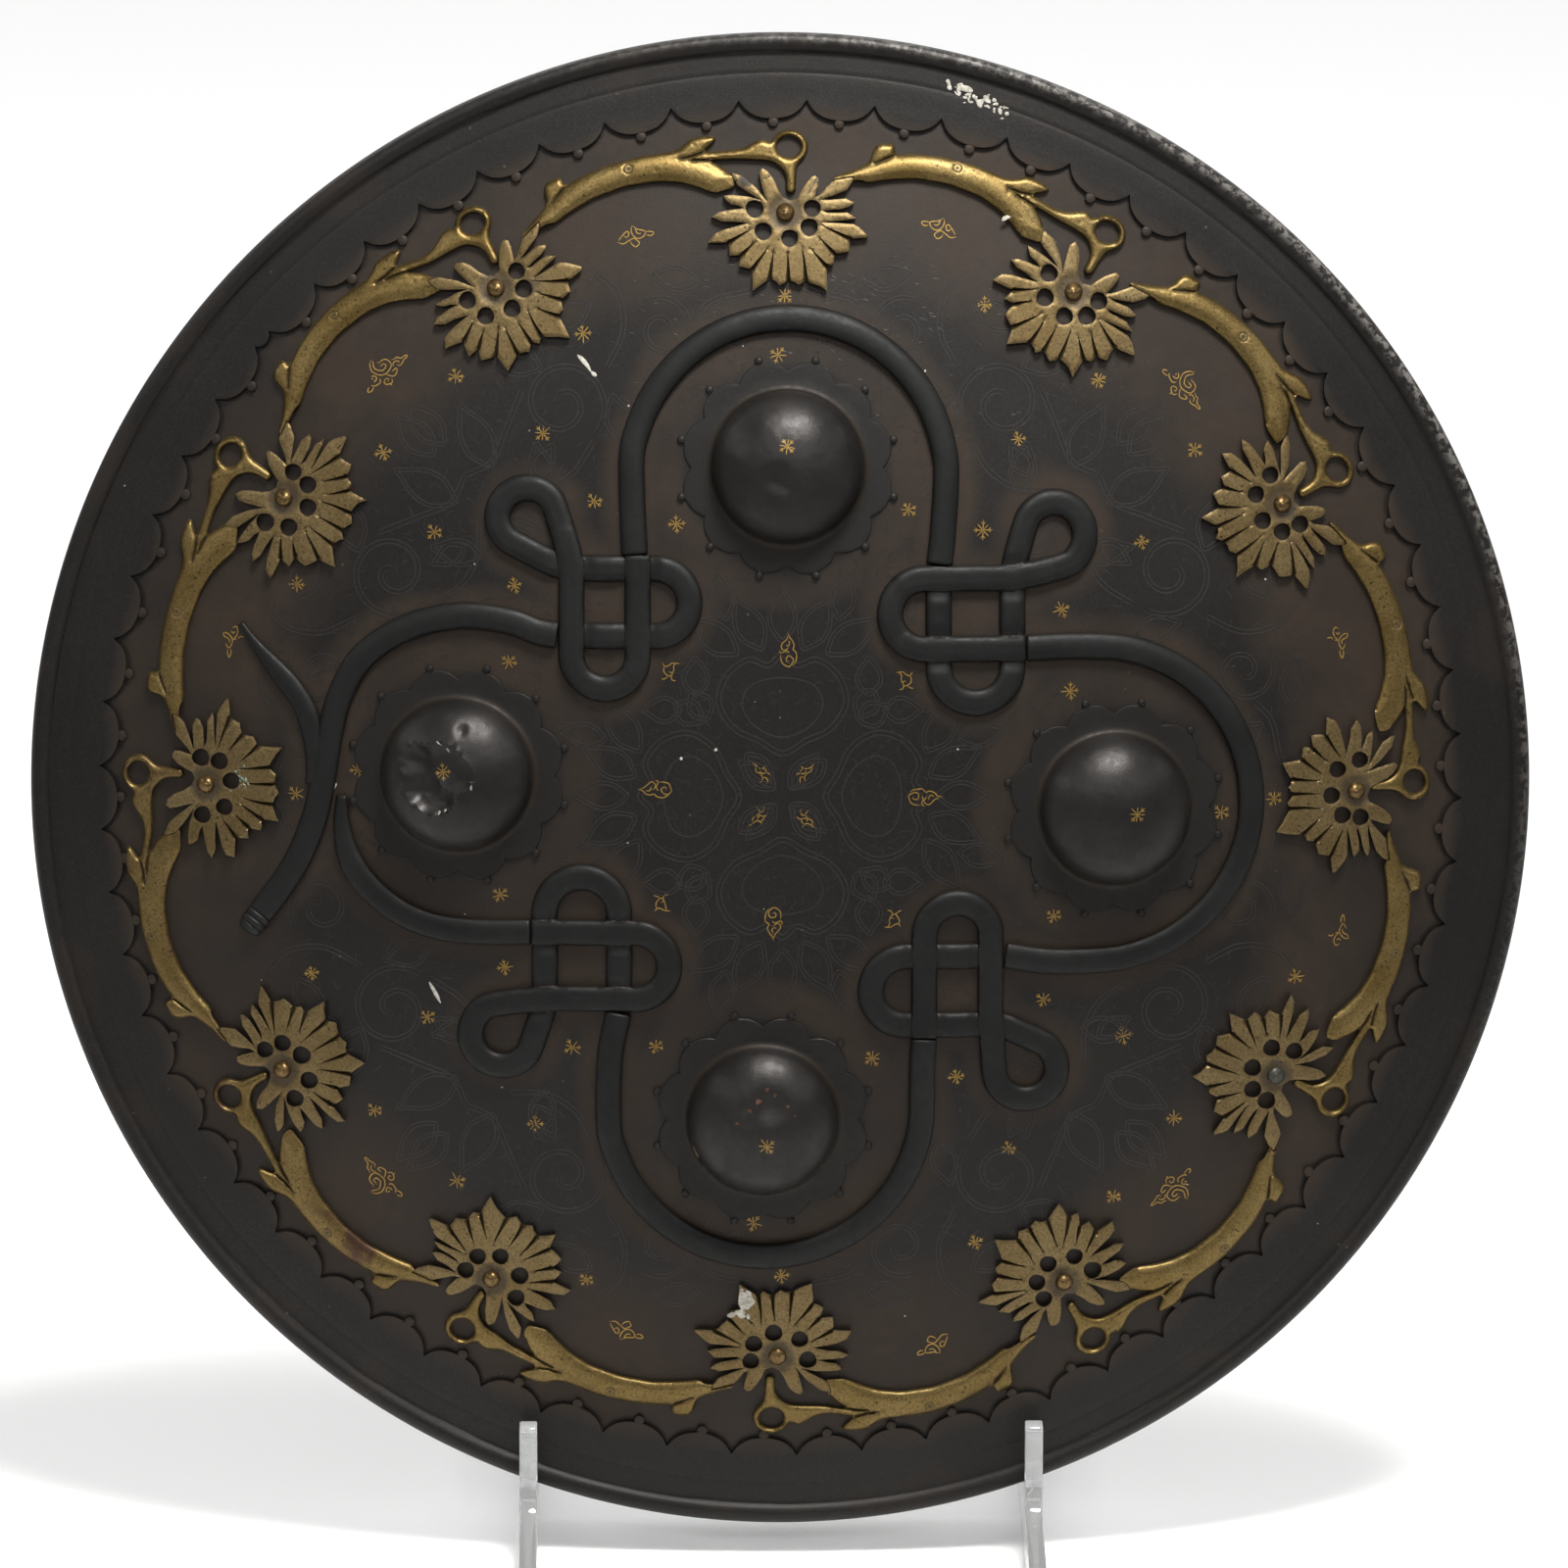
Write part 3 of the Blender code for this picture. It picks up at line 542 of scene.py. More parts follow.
def engraved_steel(name, dark, light, brown, metal=0.2, rough=(0.46, 0.66), spec=0.2, worm=1.0):
    """Dark steel with fine winding tooling, brown dirt, dust, light specks that are wear and a painted highlight on the
    rim's upper right, and a near-black line: painted shadow under the scallop step and dark engraved lines.
    """
    t = Tree(name)
    veins = []
    for shift, scale in ((0.0, 640.0), (3.7, 760.0)):
        at = t.n("ShaderNodeVectorMath", operation="ADD")
        at.inputs[1].default_value = (shift, shift * 0.4, -shift)
        t.link(t.co, at.inputs[0])
        veins.append(t.ramp(t.noise(scale, 1.0, 0.4, 0.6, at.outputs[0]),
                            [(0.455, 0.0), (0.490, 1.0), (0.510, 1.0), (0.545, 0.0)]))
    vein = t.math("MAXIMUM", veins[0], veins[1])
    patch = t.noise(38.0, 4.0, 0.6)
    broad = t.noise(9.0, 3.0, 0.55)
    fine = t.noise(2300.0, 2.0, 0.6)
    base = t.mix(t.ramp(broad, [(0.35, 0.0), (0.65, 1.0)]), dark, light)
    tool = t.math("MULTIPLY", vein, t.ramp(t.noise(26.0, 2.0), [(0.36, 0.12), (0.60, 0.50 * worm)]))
    base = t.mix(tool, base, tuple(min(1.0, c * 1.7) for c in light))
    base = t.mix(t.ramp(fine, [(0.35, 0.45), (0.7, 0.0)]), base, tuple(c * 0.45 for c in dark))
    base = t.mix(t.ramp(fine, [(0.52, 0.0), (0.74, 0.35)]), base, tuple(c * 2.0 for c in light))
    ground = t.attr("ground")
    g = t.math("ADD", ground, t.math("MULTIPLY", t.math("SUBTRACT", patch, 0.5), 0.9))
    g = t.ramp(g, [(0.25, 0.0), (0.85, 1.0)])
    dirt = t.mix(t.noise(240.0, 4.0, 0.7), tuple(c * 0.65 for c in brown), tuple(c * 1.4 for c in brown))
    col = t.mix(g, base, dirt)
    specks = t.voronoi(150.0, "F1")
    dust = t.math("MULTIPLY", t.ramp(specks, [(0.040, 1.0), (0.075, 0.0)]),
                  t.ramp(t.noise(60.0, 2.0), [(0.52, 0.0), (0.62, 1.0)]))
    col = t.mix(t.math("MULTIPLY", dust, 0.40), col, (0.13, 0.11, 0.085))
    # light specks from the mask set on the rim's bead: wear, and a painted highlight where the top light falls on its
    # upper right
    wear_and_highlight = t.math("MULTIPLY", t.attr("wear_and_highlight"), t.ramp(t.noise(480.0, 3.0, 0.65), [(0.46, 0.0), (0.58, 1.0)]))
    col = t.mix(wear_and_highlight, col, (0.155, 0.145, 0.132))
    # near-black where the 'line' attribute is high: a painted shadow along the foot of the scallop step and round the
    # feet of the scallop knobs, and the dark engraved lines of the rim
    line = t.attr("line")
    col = t.mix(t.math("MULTIPLY", line, 0.80), col, (0.0042, 0.0033, 0.0027))
    r = t.ramp(t.math("ADD", t.math("MULTIPLY", g, 0.5), t.math("MULTIPLY", patch, 0.5)),
               [(0.2, rough[0]), (0.8, rough[1])])
    nm = t.bump(vein, 0.16 * worm, 0.00008)
    nm = t.bump(fine, 0.30, 0.00007, nm)
    nm = t.bump(t.noise(170.0, 3.0), 0.12, 0.0002, nm)
    m = t.ramp(g, [(0.0, metal), (1.0, metal * 0.45)])
    return t.done(col, r, nm, m, Specular_IOR_Level=spec)


def plain_steel(name, a, b, brown, metal=0.3, rough=(0.34, 0.5), pit=1.0, spec=0.25):
    """Smooth dark steel with fine pitting and brown in the corners."""
    t = Tree(name)
    broad = t.noise(45.0, 4.0, 0.6)
    fine = t.noise(1900.0, 3.0, 0.65)
    mid = t.noise(420.0, 3.0, 0.6)
    base = t.mix(t.ramp(broad, [(0.35, 0.0), (0.65, 1.0)]), a, b)
    base = t.mix(t.ramp(mid, [(0.30, 0.45), (0.62, 0.0)]), base, tuple(c * 0.6 for c in a))
    base = t.mix(t.ramp(fine, [(0.56, 0.0), (0.75, 0.35)]), base, tuple(min(1, c * 1.8) for c in b))
    # on steel the mask mixes in brown dirt at the feet, edges and ends of the pieces
    brown_dirt_and_shade = t.attr("brown_dirt_and_shade")
    edge = t.ramp(t.math("ADD", brown_dirt_and_shade, t.math("MULTIPLY", t.math("SUBTRACT", mid, 0.5), 0.7)),
                  [(0.30, 0.0), (0.95, 1.0)])
    col = t.mix(edge, base, brown)
    r = t.ramp(mid, [(0.3, rough[1]), (0.7, rough[0])])
    nm = t.bump(fine, 0.42 * pit, 0.00012)
    nm = t.bump(mid, 0.22 * pit, 0.00028, nm)
    return t.done(col, r, nm, metal, Specular_IOR_Level=spec)


def cast_brass(name, light, deep, brown, rough=(0.36, 0.56), metal=0.85, grain=1.0, stain=0.0):
    """Old cast brass: sandy pits, clean on the high places, and a mask that turns it dark brown: patina in the hollows,
    with painted shade in the grooves, slits, along the edges, on the walls and round the feet.
    """
    t = Tree(name)
    broad = t.noise(70.0, 4.0, 0.6)
    sand = t.noise(1500.0, 4.0, 0.75)
    pits = t.voronoi(620.0, "F1")
    pit = t.math("MULTIPLY", t.ramp(pits, [(0.10, 1.0), (0.26, 0.0)]),
                 t.ramp(t.noise(260.0, 2.0), [(0.50, 0.0), (0.60, 1.0)]))
    base = t.mix(t.ramp(broad, [(0.32, 0.0), (0.68, 1.0)]), deep, light)
    base = t.mix(t.ramp(sand, [(0.34, 0.85), (0.56, 0.0)]), base, tuple(c * 0.42 for c in deep))
    # the mask paints dark brown: patina, with painted shade in grooves, slits, along edges, on walls and round feet
    brown_dirt_and_shade = t.attr("brown_dirt_and_shade")
    e = t.math("ADD", brown_dirt_and_shade, t.math("MULTIPLY", t.math("SUBTRACT", t.noise(300.0, 3.0), 0.5), 0.6))
    e = t.ramp(e, [(0.28, 0.0), (0.92, 1.0)])
    col = t.mix(e, base, brown)
    col = t.mix(t.math("MULTIPLY", pit, 0.85), col, tuple(c * 0.35 for c in brown))
    if stain:
        s = t.ramp(t.noise(55.0, 4.0, 0.65), [(0.56, 0.0), (0.68, 1.0)])
        col = t.mix(t.math("MULTIPLY", s, stain), col, (0.036, 0.0145, 0.0155))
    r = t.ramp(t.math("ADD", t.math("MULTIPLY", sand, 0.6), t.math("MULTIPLY", e, 0.4)),
               [(0.25, rough[0]), (0.75, rough[1])])
    nm = t.bump(sand, 0.30 * grain, 0.00010)
    nm = t.bump(pit, -0.5 * grain, 0.00022, nm)
    nm = t.bump(t.noise(300.0, 2.0, 0.5), 0.12 * grain, 0.00025, nm)
    m = t.ramp(e, [(0.0, metal), (1.0, metal * 0.35)])
    return t.done(col, r, nm, m)


def gold(name):
    t = Tree(name)
    a = t.noise(900.0, 3.0, 0.6)
    col = t.mix(t.ramp(a, [(0.35, 0.0), (0.65, 1.0)]), (0.215, 0.123, 0.022), (0.335, 0.215, 0.048))
    nm = t.bump(t.noise(2600.0, 2.0), 0.3, 0.0001)
    return t.done(col, t.ramp(a, [(0.3, 0.5), (0.7, 0.34)]), nm, 0.55)


def crust(name, a, b, rough=0.9):
    t = Tree(name)
    n1 = t.noise(700.0, 4.0, 0.65)
    col = t.mix(t.ramp(n1, [(0.35, 0.0), (0.62, 1.0)]), a, b)
    return t.done(col, rough, t.bump(n1, 0.6, 0.0003))


def clear_sheet(name, edge=False):
    t = Tree(name)
    haze = t.noise(120.0, 3.0, 0.6)
    r = t.ramp(haze, [(0.4, 0.05 if not edge else 0.16), (0.7, 0.10 if not edge else 0.30)])
    t.link(r, t.sh.inputs["Roughness"])
    t.link(t.bump(t.noise(60.0, 2.0), 0.05, 0.0003), t.sh.inputs["Normal"])
    t.sh.inputs["Base Color"].default_value = (0.965, 0.98, 0.985, 1.0)
    t.sh.inputs["Transmission Weight"].default_value = 0.74
    t.sh.inputs["IOR"].default_value = 1.49
    return t.mat


def pale_floor():
    """Plain pale studio floor."""
    t = Tree("studio_floor")
    col = t.mix(t.noise(1.5, 2.0), (0.905, 0.905, 0.90), (0.915, 0.915, 0.912))
    return t.done(col, 0.85)


FACE = engraved_steel("engraved_face", (0.0088, 0.0074, 0.0064), (0.0132, 0.0115, 0.0101), (0.0205, 0.0130, 0.0076),
                      0.35, (0.42, 0.60), 0.28)
BACK = engraved_steel("plain_back", (0.0100, 0.0080, 0.0065), (0.0152, 0.0120, 0.0097), (0.0180, 0.0105, 0.0060),
                      0.25, (0.5, 0.7), 0.25, 0.3)
CORD = plain_steel("old_cord_steel", (0.0078, 0.0078, 0.0076), (0.0130, 0.0131, 0.0128), (0.0100, 0.0068, 0.0043), 0.4,
                   (0.42, 0.58), 1.0, 0.24)
BOSS = plain_steel("old_boss_steel", (0.0108, 0.0094, 0.0086), (0.0225, 0.0203, 0.0188), (0.0150, 0.0102, 0.0066), 0.5,
                   (0.34, 0.48), 1.0, 0.36)
SEAT = plain_steel("boss_seat_steel", (0.0094, 0.0083, 0.0073), (0.0128, 0.0116, 0.0102), (0.0150, 0.0098, 0.0060), 0.35,
                   (0.44, 0.60), 1.0, 0.28)
BRASS = cast_brass("old_flower_brass", (0.182, 0.133, 0.062), (0.128, 0.087, 0.034), (0.0190, 0.0118, 0.0056), (0.46, 0.62), 0.86)
VINE = cast_brass("old_vine_brass", (0.190, 0.135, 0.052), (0.131, 0.087, 0.027), (0.0205, 0.0125, 0.0052), (0.41, 0.57), 0.90)
VINE_STAINED = cast_brass("old_vine_brass_stained", (0.176, 0.124, 0.049), (0.122, 0.081, 0.026), (0.0205, 0.0125, 0.0052),
                          (0.42, 0.58), 0.90, stain=0.75)
PIN = cast_brass("old_pin_brass", (0.170, 0.110, 0.043), (0.118, 0.073, 0.028), (0.024, 0.0143, 0.0075), (0.34, 0.50), grain=0.4)
PIN_DULL = cast_brass("old_pin_dull", (0.062, 0.062, 0.048), (0.038, 0.038, 0.029), (0.024, 0.019, 0.0145), (0.42, 0.6), 0.6)
GOLD = gold("gold_inlay")
WHITE = crust("white_residue", (0.24, 0.215, 0.175), (0.46, 0.44, 0.39))
GREEN = crust("verdigris", (0.085, 0.145, 0.115), (0.175, 0.250, 0.205))
CLEAR = clear_sheet("clear_sheet")

# ---- shield plate ----------------------------------------------------------------------
def drift(deg):
    a = radians(deg)
    return -1.15 + 0.95 * cos(a - radians(175)) + 0.55 * cos(2 * a + radians(95))


def cusps():
    out = []
    for j in range(SCALLOPS + 1):
        a = CLOSING_AT - SCALLOP_PITCH * j
        ease = min(1.0, j / 6.0, (SCALLOPS - j) / 6.0)
        out.append(a + drift(a) * ease)
    return out


CORD_W = 7.3
KNOTS = {
    "knot_upper_left": dict(s=(-1, 1), xo=58.4, xi=40.0, yo=63.1, yi=44.5, end=29.9,
                            side=25.7, cx=12.2, cy=13.8, rx=8.3, ry=8.2),
    "knot_upper_right": dict(s=(1, 1), xo=63.9, xi=43.4, yo=60.3, yi=40.8, end=25.8,
                             side=29.9, cx=11.6, cy=11.6, rx=8.6, ry=9.0),
    "knot_lower_left": dict(s=(-1, -1), xo=66.0, xi=45.3, yo=57.0, yi=38.3, end=22.7,
                            side=31.4, cx=12.0, cy=10.6, rx=8.8, ry=8.9),
    "knot_lower_right": dict(s=(1, -1), xo=58.0, xi=39.5, yo=64.5, yi=45.0, end=30.0,
                             side=24.6, cx=9.9, cy=12.9, rx=8.7, ry=8.7),
}


def knot_path(d, step):
    xo, xi, yo, yi = d["xo"], d["xi"], d["yo"], d["yi"]
    sx, sy = d["s"]
    rv, rh = (xo - xi) / 2, (yo - yi) / 2
    half_turn = range(0, 181, 20)
    p = [(xi, yo + CORD_W / 2), (xi, yo - 2), (xi, yi + 2)]
    centre = d["end"] + rv
    p += [((xo + xi) / 2 - rv * cos(radians(a)), centre - rv * sin(radians(a))) for a in half_turn]
    p += [(xo, yi + 2), (xo, yo - 2), (xo + 0.4, yo + 3)]
    cx, cy = xo + d["cx"], yo + d["cy"]
    p += [(cx + d["rx"] * cos(radians(a)), cy + d["ry"] * sin(radians(a)))
          for a in (172, 140, 108, 75, 45, 15, -15, -45, -72)]
    p += [(xo + 3, yo + 0.4), (xo - 2, yo), (xi + 2, yo)]
    centre = d["side"] + rh
    p += [(centre - rh * sin(radians(a)), (yo + yi) / 2 + rh * cos(radians(a))) for a in half_turn]
    p += [(xi + 2, yi), (xo - 2, yi), (xo + CORD_W / 2, yi)]
    return spline([(sx * x, sy * y) for x, y in p], step)


def lobe(centre, r, a0, a1, start, end):
    n = int(abs(a1 - a0) / 10)
    turn = [(centre[0] + r * cos(radians(a0 + (a1 - a0) * i / n)),
             centre[1] + r * sin(radians(a0 + (a1 - a0) * i / n))) for i in range(n + 1)]
    return spline(list(start) + turn + list(end), 0.8)


CORD_PATHS = {
    "cord_top": lobe((1.8, 88.0), 43.8, 172, 2,
                     [(-40.8, 66.98), (-41.4, 80.0)], [(44.6, 73.0), (43.6, 64.22)]),
    "cord_right": lobe((87.0, -2.9), 43.9, 84, -86,
                       [(67.8, 40.8), (79.0, 41.2)], [(75.0, -46.9), (61.95, -45.0)]),
    "cord_bottom": lobe((-4.8, -87.3), 43.8, -5, -172,
                        [(39.45, -68.42), (39.0, -78.0)], [(-47.9, -74.0), (-45.5, -60.95)]),
    "cord_left_upper": spline([(-62.35, 44.55), (-68.0, 45.5), (-76.0, 48.3), (-89.0, 49.6),
                               (-103.0, 46.5), (-115.6, 38.6), (-122.5, 27.6), (-125.8, 15.0),
                               (-128.1, 1.0), (-130.3, -8.1), (-134.3, -18.0), (-139.0, -26.0),
                               (-145.0, -34.2), (-149.3, -40.2)], 0.8),
    "cord_left_lower": spline([(-122.4, -1.0), (-122.4, -9.0), (-120.6, -17.6), (-116.6, -24.6),
                               (-108.2, -32.2), (-97.6, -36.9), (-84.0, -38.5), (-69.95, -38.3)], 0.8),
    "cord_tail": spline([(-150.6, 46.2), (-146.0, 40.0), (-140.6, 33.6), (-135.6, 27.8),
                         (-132.2, 22.0), (-130.6, 15.0), (-130.2, 8.0), (-130.8, 2.0)], 0.8),
}
KNOT_PATHS = {name: knot_path(d, 0.8) for name, d in KNOTS.items()}
RAISED_SEGS = loop_segs(list(CORD_PATHS.values()) + list(KNOT_PATHS.values()), False)


def brown_ground(xy):
    """How brown the ground is: along the wreath, by the cords and inside the knots."""
    rho = np.hypot(xy[:, 0], xy[:, 1])
    g = 0.72 * smooth01(rho, 126, 152) * (1 - smooth01(rho, 187, 192))
    g += 0.22 * smooth01(rho, 190, 205)
    near = dist_to(xy, RAISED_SEGS[::3])
    g = np.maximum(g, 0.80 * (1 - smooth01(near, 4.0, 13.0)))
    for d in KNOTS.values():
        cx = d["s"][0] * (d["xo"] + d["xi"]) / 2
        cy = d["s"][1] * (d["yo"] + d["yi"]) / 2
        g = np.maximum(g, 1.0 - smooth01(np.hypot(xy[:, 0] - cx, xy[:, 1] - cy), 9, 22))
    for cx, cy in BOSSES.values():
        g = np.maximum(g, 0.62 * (1 - smooth01(np.abs(np.hypot(xy[:, 0] - cx, xy[:, 1] - cy) - 34), 3, 9)))
    g = g + 0.55 * (fbm(xy[:, 0], xy[:, 1], 26.0, 2) - 0.5)
    return np.clip(g, 0, 1)


def uneven(xy):
    """Hammered sheet: a few hundredths to tenths of a millimetre."""
    x, y = xy[:, 0], xy[:, 1]
    return 0.42 * (fbm(x, y, 34.0, 5) - 0.5) + 0.10 * (fbm(x, y, 9.0, 6, 2) - 0.5)


PER = 12


def build_plate():
    m = Mesh()
    marks = cusps()
    spans = list(zip(marks, marks[1:])) + [(marks[-1], marks[0] - 360.0)]
    deg, edge_r, part = [], [], []
    for k, (a, b) in enumerate(spans):
        for i in range(PER):
            t = i / PER
            deg.append(a + (b - a) * t)
            depth = (CUSP_R - SCALLOP_R) if k < SCALLOPS else 1.7
            s = abs(2 * t - 1)
            edge_r.append(CUSP_R - depth * (1 - s ** 2.6) ** 0.82 + 0.25 * (noise2(k * 9.7, 3.0, 5.0, 8) - 0.5))
            part.append(t)
    deg = np.radians(np.array(deg)[::-1])          # counter-clockwise
    edge_r = np.array(edge_r)[::-1]
    n = len(deg)
    cx, cy = np.cos(deg), np.sin(deg)
    circle = 2 * np.pi * np.arange(n) / n + deg[0]
    # columns run from even spacing inside to the scallop marks outside
    wrap = np.unwrap(deg)

    # line sets the near-black 'line' attribute of a row: painted shadow under the scallop step, or a dark engraved line
    def row(r, h, blend, line=0.0, up=None):
        ang = circle + (wrap - circle) * blend
        up = blend if up is None else up
        xy = np.stack([r * np.cos(ang), r * np.sin(ang) + BORDER_UP * up], 1)
        hh = h + uneven(xy)
        return m.add(lifted(xy, hh), line)

    def mixed(r0, k):
        return r0 + (edge_r - r0) * k

    line_rows = []
    # inside: rows on circles, halved towards the centre
    r99 = [m.add(lifted(np.stack([r * np.cos(circle[::8]), r * np.sin(circle[::8])], 1),
                        uneven(np.stack([r * np.cos(circle[::8]), r * np.sin(circle[::8])], 1))))
           for r in (3.0, 6.5, 10.0, 13.5, 17.0, 20.5, 24.0, 27.5)]
    tip = m.add([[0, 0, float(rise(0.0))]])
    m.fan(r99[0], tip[0])
    for a, b in zip(r99, r99[1:]):
        m.strip(a, b)

    def plain(radii, skip):
        out = []
        for r in radii:
            xy = np.stack([r * np.cos(circle[::skip]), r * np.sin(circle[::skip])], 1)
            out.append(m.add(lifted(xy, uneven(xy))))
        for a, b in zip(out, out[1:]):
            m.strip(a, b)
        return out
    mid = plain(np.arange(30.5, 72.0, 2.6), 4)
    m.halve(mid[0], r99[-1])
    far = plain(np.arange(72.5, 149.0, 2.4), 2)
    m.halve(far[0], mid[-1])
    # the fourth number of row() is the 'line' attribute: from edge_r - 1.15 to edge_r + 0.02 it is a painted shadow
    # under the scallop step; at 198.6 and 204.0 it darkens the engraved rim lines
    rows = [row(150.0, 0.0, 0.0, up=0), row(156.0, 0.0, 0.15), row(162.0, 0.0, 0.3), row(167.0, 0.0, 0.5),
            row(172.0, 0.0, 0.7), row(176.5, 0.0, 0.85), row(180.0, 0.0, 1.0),
            row(mixed(180.0, 0.45), 0.0, 1.0), row(edge_r - 1.75, 0.0, 1.0, 0.0),
            row(edge_r - 1.15, -0.06, 1.0, 0.70), row(edge_r - 0.50, -0.10, 1.0, 1.0),
            row(edge_r - 0.10, -0.08, 1.0, 1.0), row(edge_r + 0.02, BORDER_STEP * 0.80, 1.0, 0.70),
            row(edge_r + 0.22, BORDER_STEP, 1.0, 0.05), row(edge_r + 0.75, BORDER_STEP + 0.07, 1.0, 0.0),
            row(np.maximum(edge_r + 2.2, 190.3), BORDER_STEP, 1.0), row(193.4, BORDER_STEP, 1.0),
            row(195.6, BORDER_STEP, 0.8), row(197.4, BORDER_STEP - 0.10, 0.6), row(198.35, BORDER_STEP - 0.18, 0.5, 0.0),
            row(198.6, BORDER_STEP - 0.26, 0.5, 0.40), row(198.85, BORDER_STEP - 0.20, 0.5, 0.0),
            row(200.2, BORDER_STEP - 0.28, 0.4), row(201.8, BORDER_STEP - 0.36, 0.3),
            row(203.2, BORDER_STEP - 0.42, 0.2, 0.05), row(204.0, BORDER_STEP - 0.48, 0.2, 0.38, up=0)]
    m.halve(rows[0], far[-1])
    for a, b in zip(rows, rows[1:]):
        m.strip(a, b)
    prev = rows[-1]
    ang = circle + (wrap - circle) * 0.2
    # bead rows that get light specks: wear, and a painted highlight where the top light falls on the upper right
    wear_and_highlight_rows = []
    for t in (146, 130, 114, 98, 82, 66, 50, 34, 18, 2, -16, -36, -58, -82, -108, -136, -165):
        rr = RADIUS - BEAD_R + (BEAD_R - 0.03) * cos(radians(t))
        wob = 0.16 * (noise2(np.degrees(ang) * 1.0, t * 0.0 + 2.0, 9.0, 4) - 0.5)
        z = 0.3 + BEAD_R * sin(radians(t)) + wob * (t > -60)
        pts = np.stack([rr * np.cos(ang), rr * np.sin(ang), np.broadcast_to(z, ang.shape)], 1)
        cur = m.add(pts, 0.25 if t > 140 else 0.0)
        wear_and_highlight_rows.append((cur, np.exp(-((np.degrees(ang) + 180) % 360 - 180 - 42) ** 2 / (2 * 30.0 ** 2)) 
                       * exp(-((t - 48) / 34.0) ** 2)))
        m.strip(prev, cur)
        prev = cur
    # hollow side
    back = [(203.3, 0.5 - PLATE), (200.0, -PLATE + 0.4), (194.0, -PLATE), (186.0, -PLATE), (176.0, -PLATE)]
    for r, h in back:
        xy = np.stack([r * np.cos(ang), r * np.sin(ang)], 1)
        cur = m.add(lifted(xy, h))
        m.strip(prev, cur)
        prev = cur
    for radii, skip in (((168, 158, 148, 138, 128), 2), ((118, 108, 98, 88, 78), 4), ((68, 58, 48, 38, 28, 18, 9), 8)):
        for r in radii:
            a2 = ang[::skip]
            xy = np.stack([r * np.cos(a2), r * np.sin(a2)], 1)
            cur = m.add(lifted(xy, -PLATE + 1.2 * uneven(xy)))
            if len(cur) == len(prev):
                m.strip(prev, cur)
            else:
                m.halve(prev, cur)
            prev = cur
    tip = m.add([[0, 0, float(rise(0.0)) - PLATE]])
    m.fan(prev, tip[0])
    nface = len(m.faces)
    # round knobs at the middle of each scallop
    for k, (a, b) in enumerate(spans[:SCALLOPS]):
        d = (a + b) / 2 + 0.25 * (noise2(k * 3.1, 0, 1.0, 9) - 0.5)
        kx, ky = pol(SCALLOP_R - 0.72, d)
        ky += BORDER_UP
        rk = 1.50 + 0.16 * (noise2(k * 7.7, 1.0, 3.0, 10) - 0.5)
        prev = None
        for j, (fr, fh) in enumerate(((1.0, -0.2), (1.0, 0.80), (0.90, 1.08), (0.62, 1.24))):
            t = 2 * np.pi * np.arange(12) / 12
            ring = lifted(np.stack([kx + rk * fr * np.cos(t), ky + rk * fr * np.sin(t)], 1), fh)
            # the lowest rings carry the 'line' attribute: painted shade round the knob's foot
            cur = m.add(ring, (1.0, 0.75, 0.15, 0.0)[j])
            if prev is not None:
                m.strip(prev, cur)
            else:
                base = cur
            prev = cur
        tip = m.add(lifted([[kx, ky]], 1.28), 0.0)
        m.fan(prev, tip[0])
        low = m.add(lifted([[kx, ky]], -0.2), 1.0)
        m.fan(base[::-1], low[0])
    co, faces = m.data()
    # which faces belong to the hollow side
    cen_z = np.array([co[list(f)].mean(0) for f in faces[:nface]])
    rr = np.hypot(cen_z[:, 0], cen_z[:, 1])
    hollow = (cen_z[:, 2] - rise(rr) < -0.9) | ((rr > 200) & (cen_z[:, 2] < -1.2))
    mat_i = np.concatenate([hollow.astype(int), np.zeros(len(faces) - nface, int)])
    ground = brown_ground(co[:, :2])
    wear_and_highlight = np.zeros(len(co))
    for where, amount in wear_and_highlight_rows:
        wear_and_highlight[where] = amount
    # the 'line' attribute holds the painted shadow under the scallop step and knobs, and the dark engraved lines
    return make("plate", co, faces, [FACE, BACK], ("shield_plate",), 38.0,
                {"ground": ground, "line": m.attr(), "wear_and_highlight": wear_and_highlight}, face_mat=mat_i)


# ---- bosses ----------------------------------------------------------------------------
def boss_frame(name):
    cx, cy = BOSSES[name]
    rho = hypot(cx, cy)
    slope = CROWN_SLOPE * rho / RADIUS
    up = np.array([cx / rho * slope, cy / rho * slope, 1.0])
    up /= np.linalg.norm(up)
    return cx, cy, up


DENTS = {
    "boss_left": [(-86.6, 18.6, 1.7, 0.9), (-98.0, 1.0, 3.6, 1.3), (-91.0, -1.0, 2.6, 0.8),
                  (-97.5, 11.5, 3.4, 1.2)],
    "boss_top": [(-2.1, 86.0, 4.2, 1.3), (1.0, 84.0, 2.4, 0.6)],
    "boss_bottom": [(-3.4, -83.5, 5.6, 2.0), (-9.8, -87.0, 3.6, 0.9)],
    "boss_right": [(88.0, -10.0, 6.0, 0.5)],
}


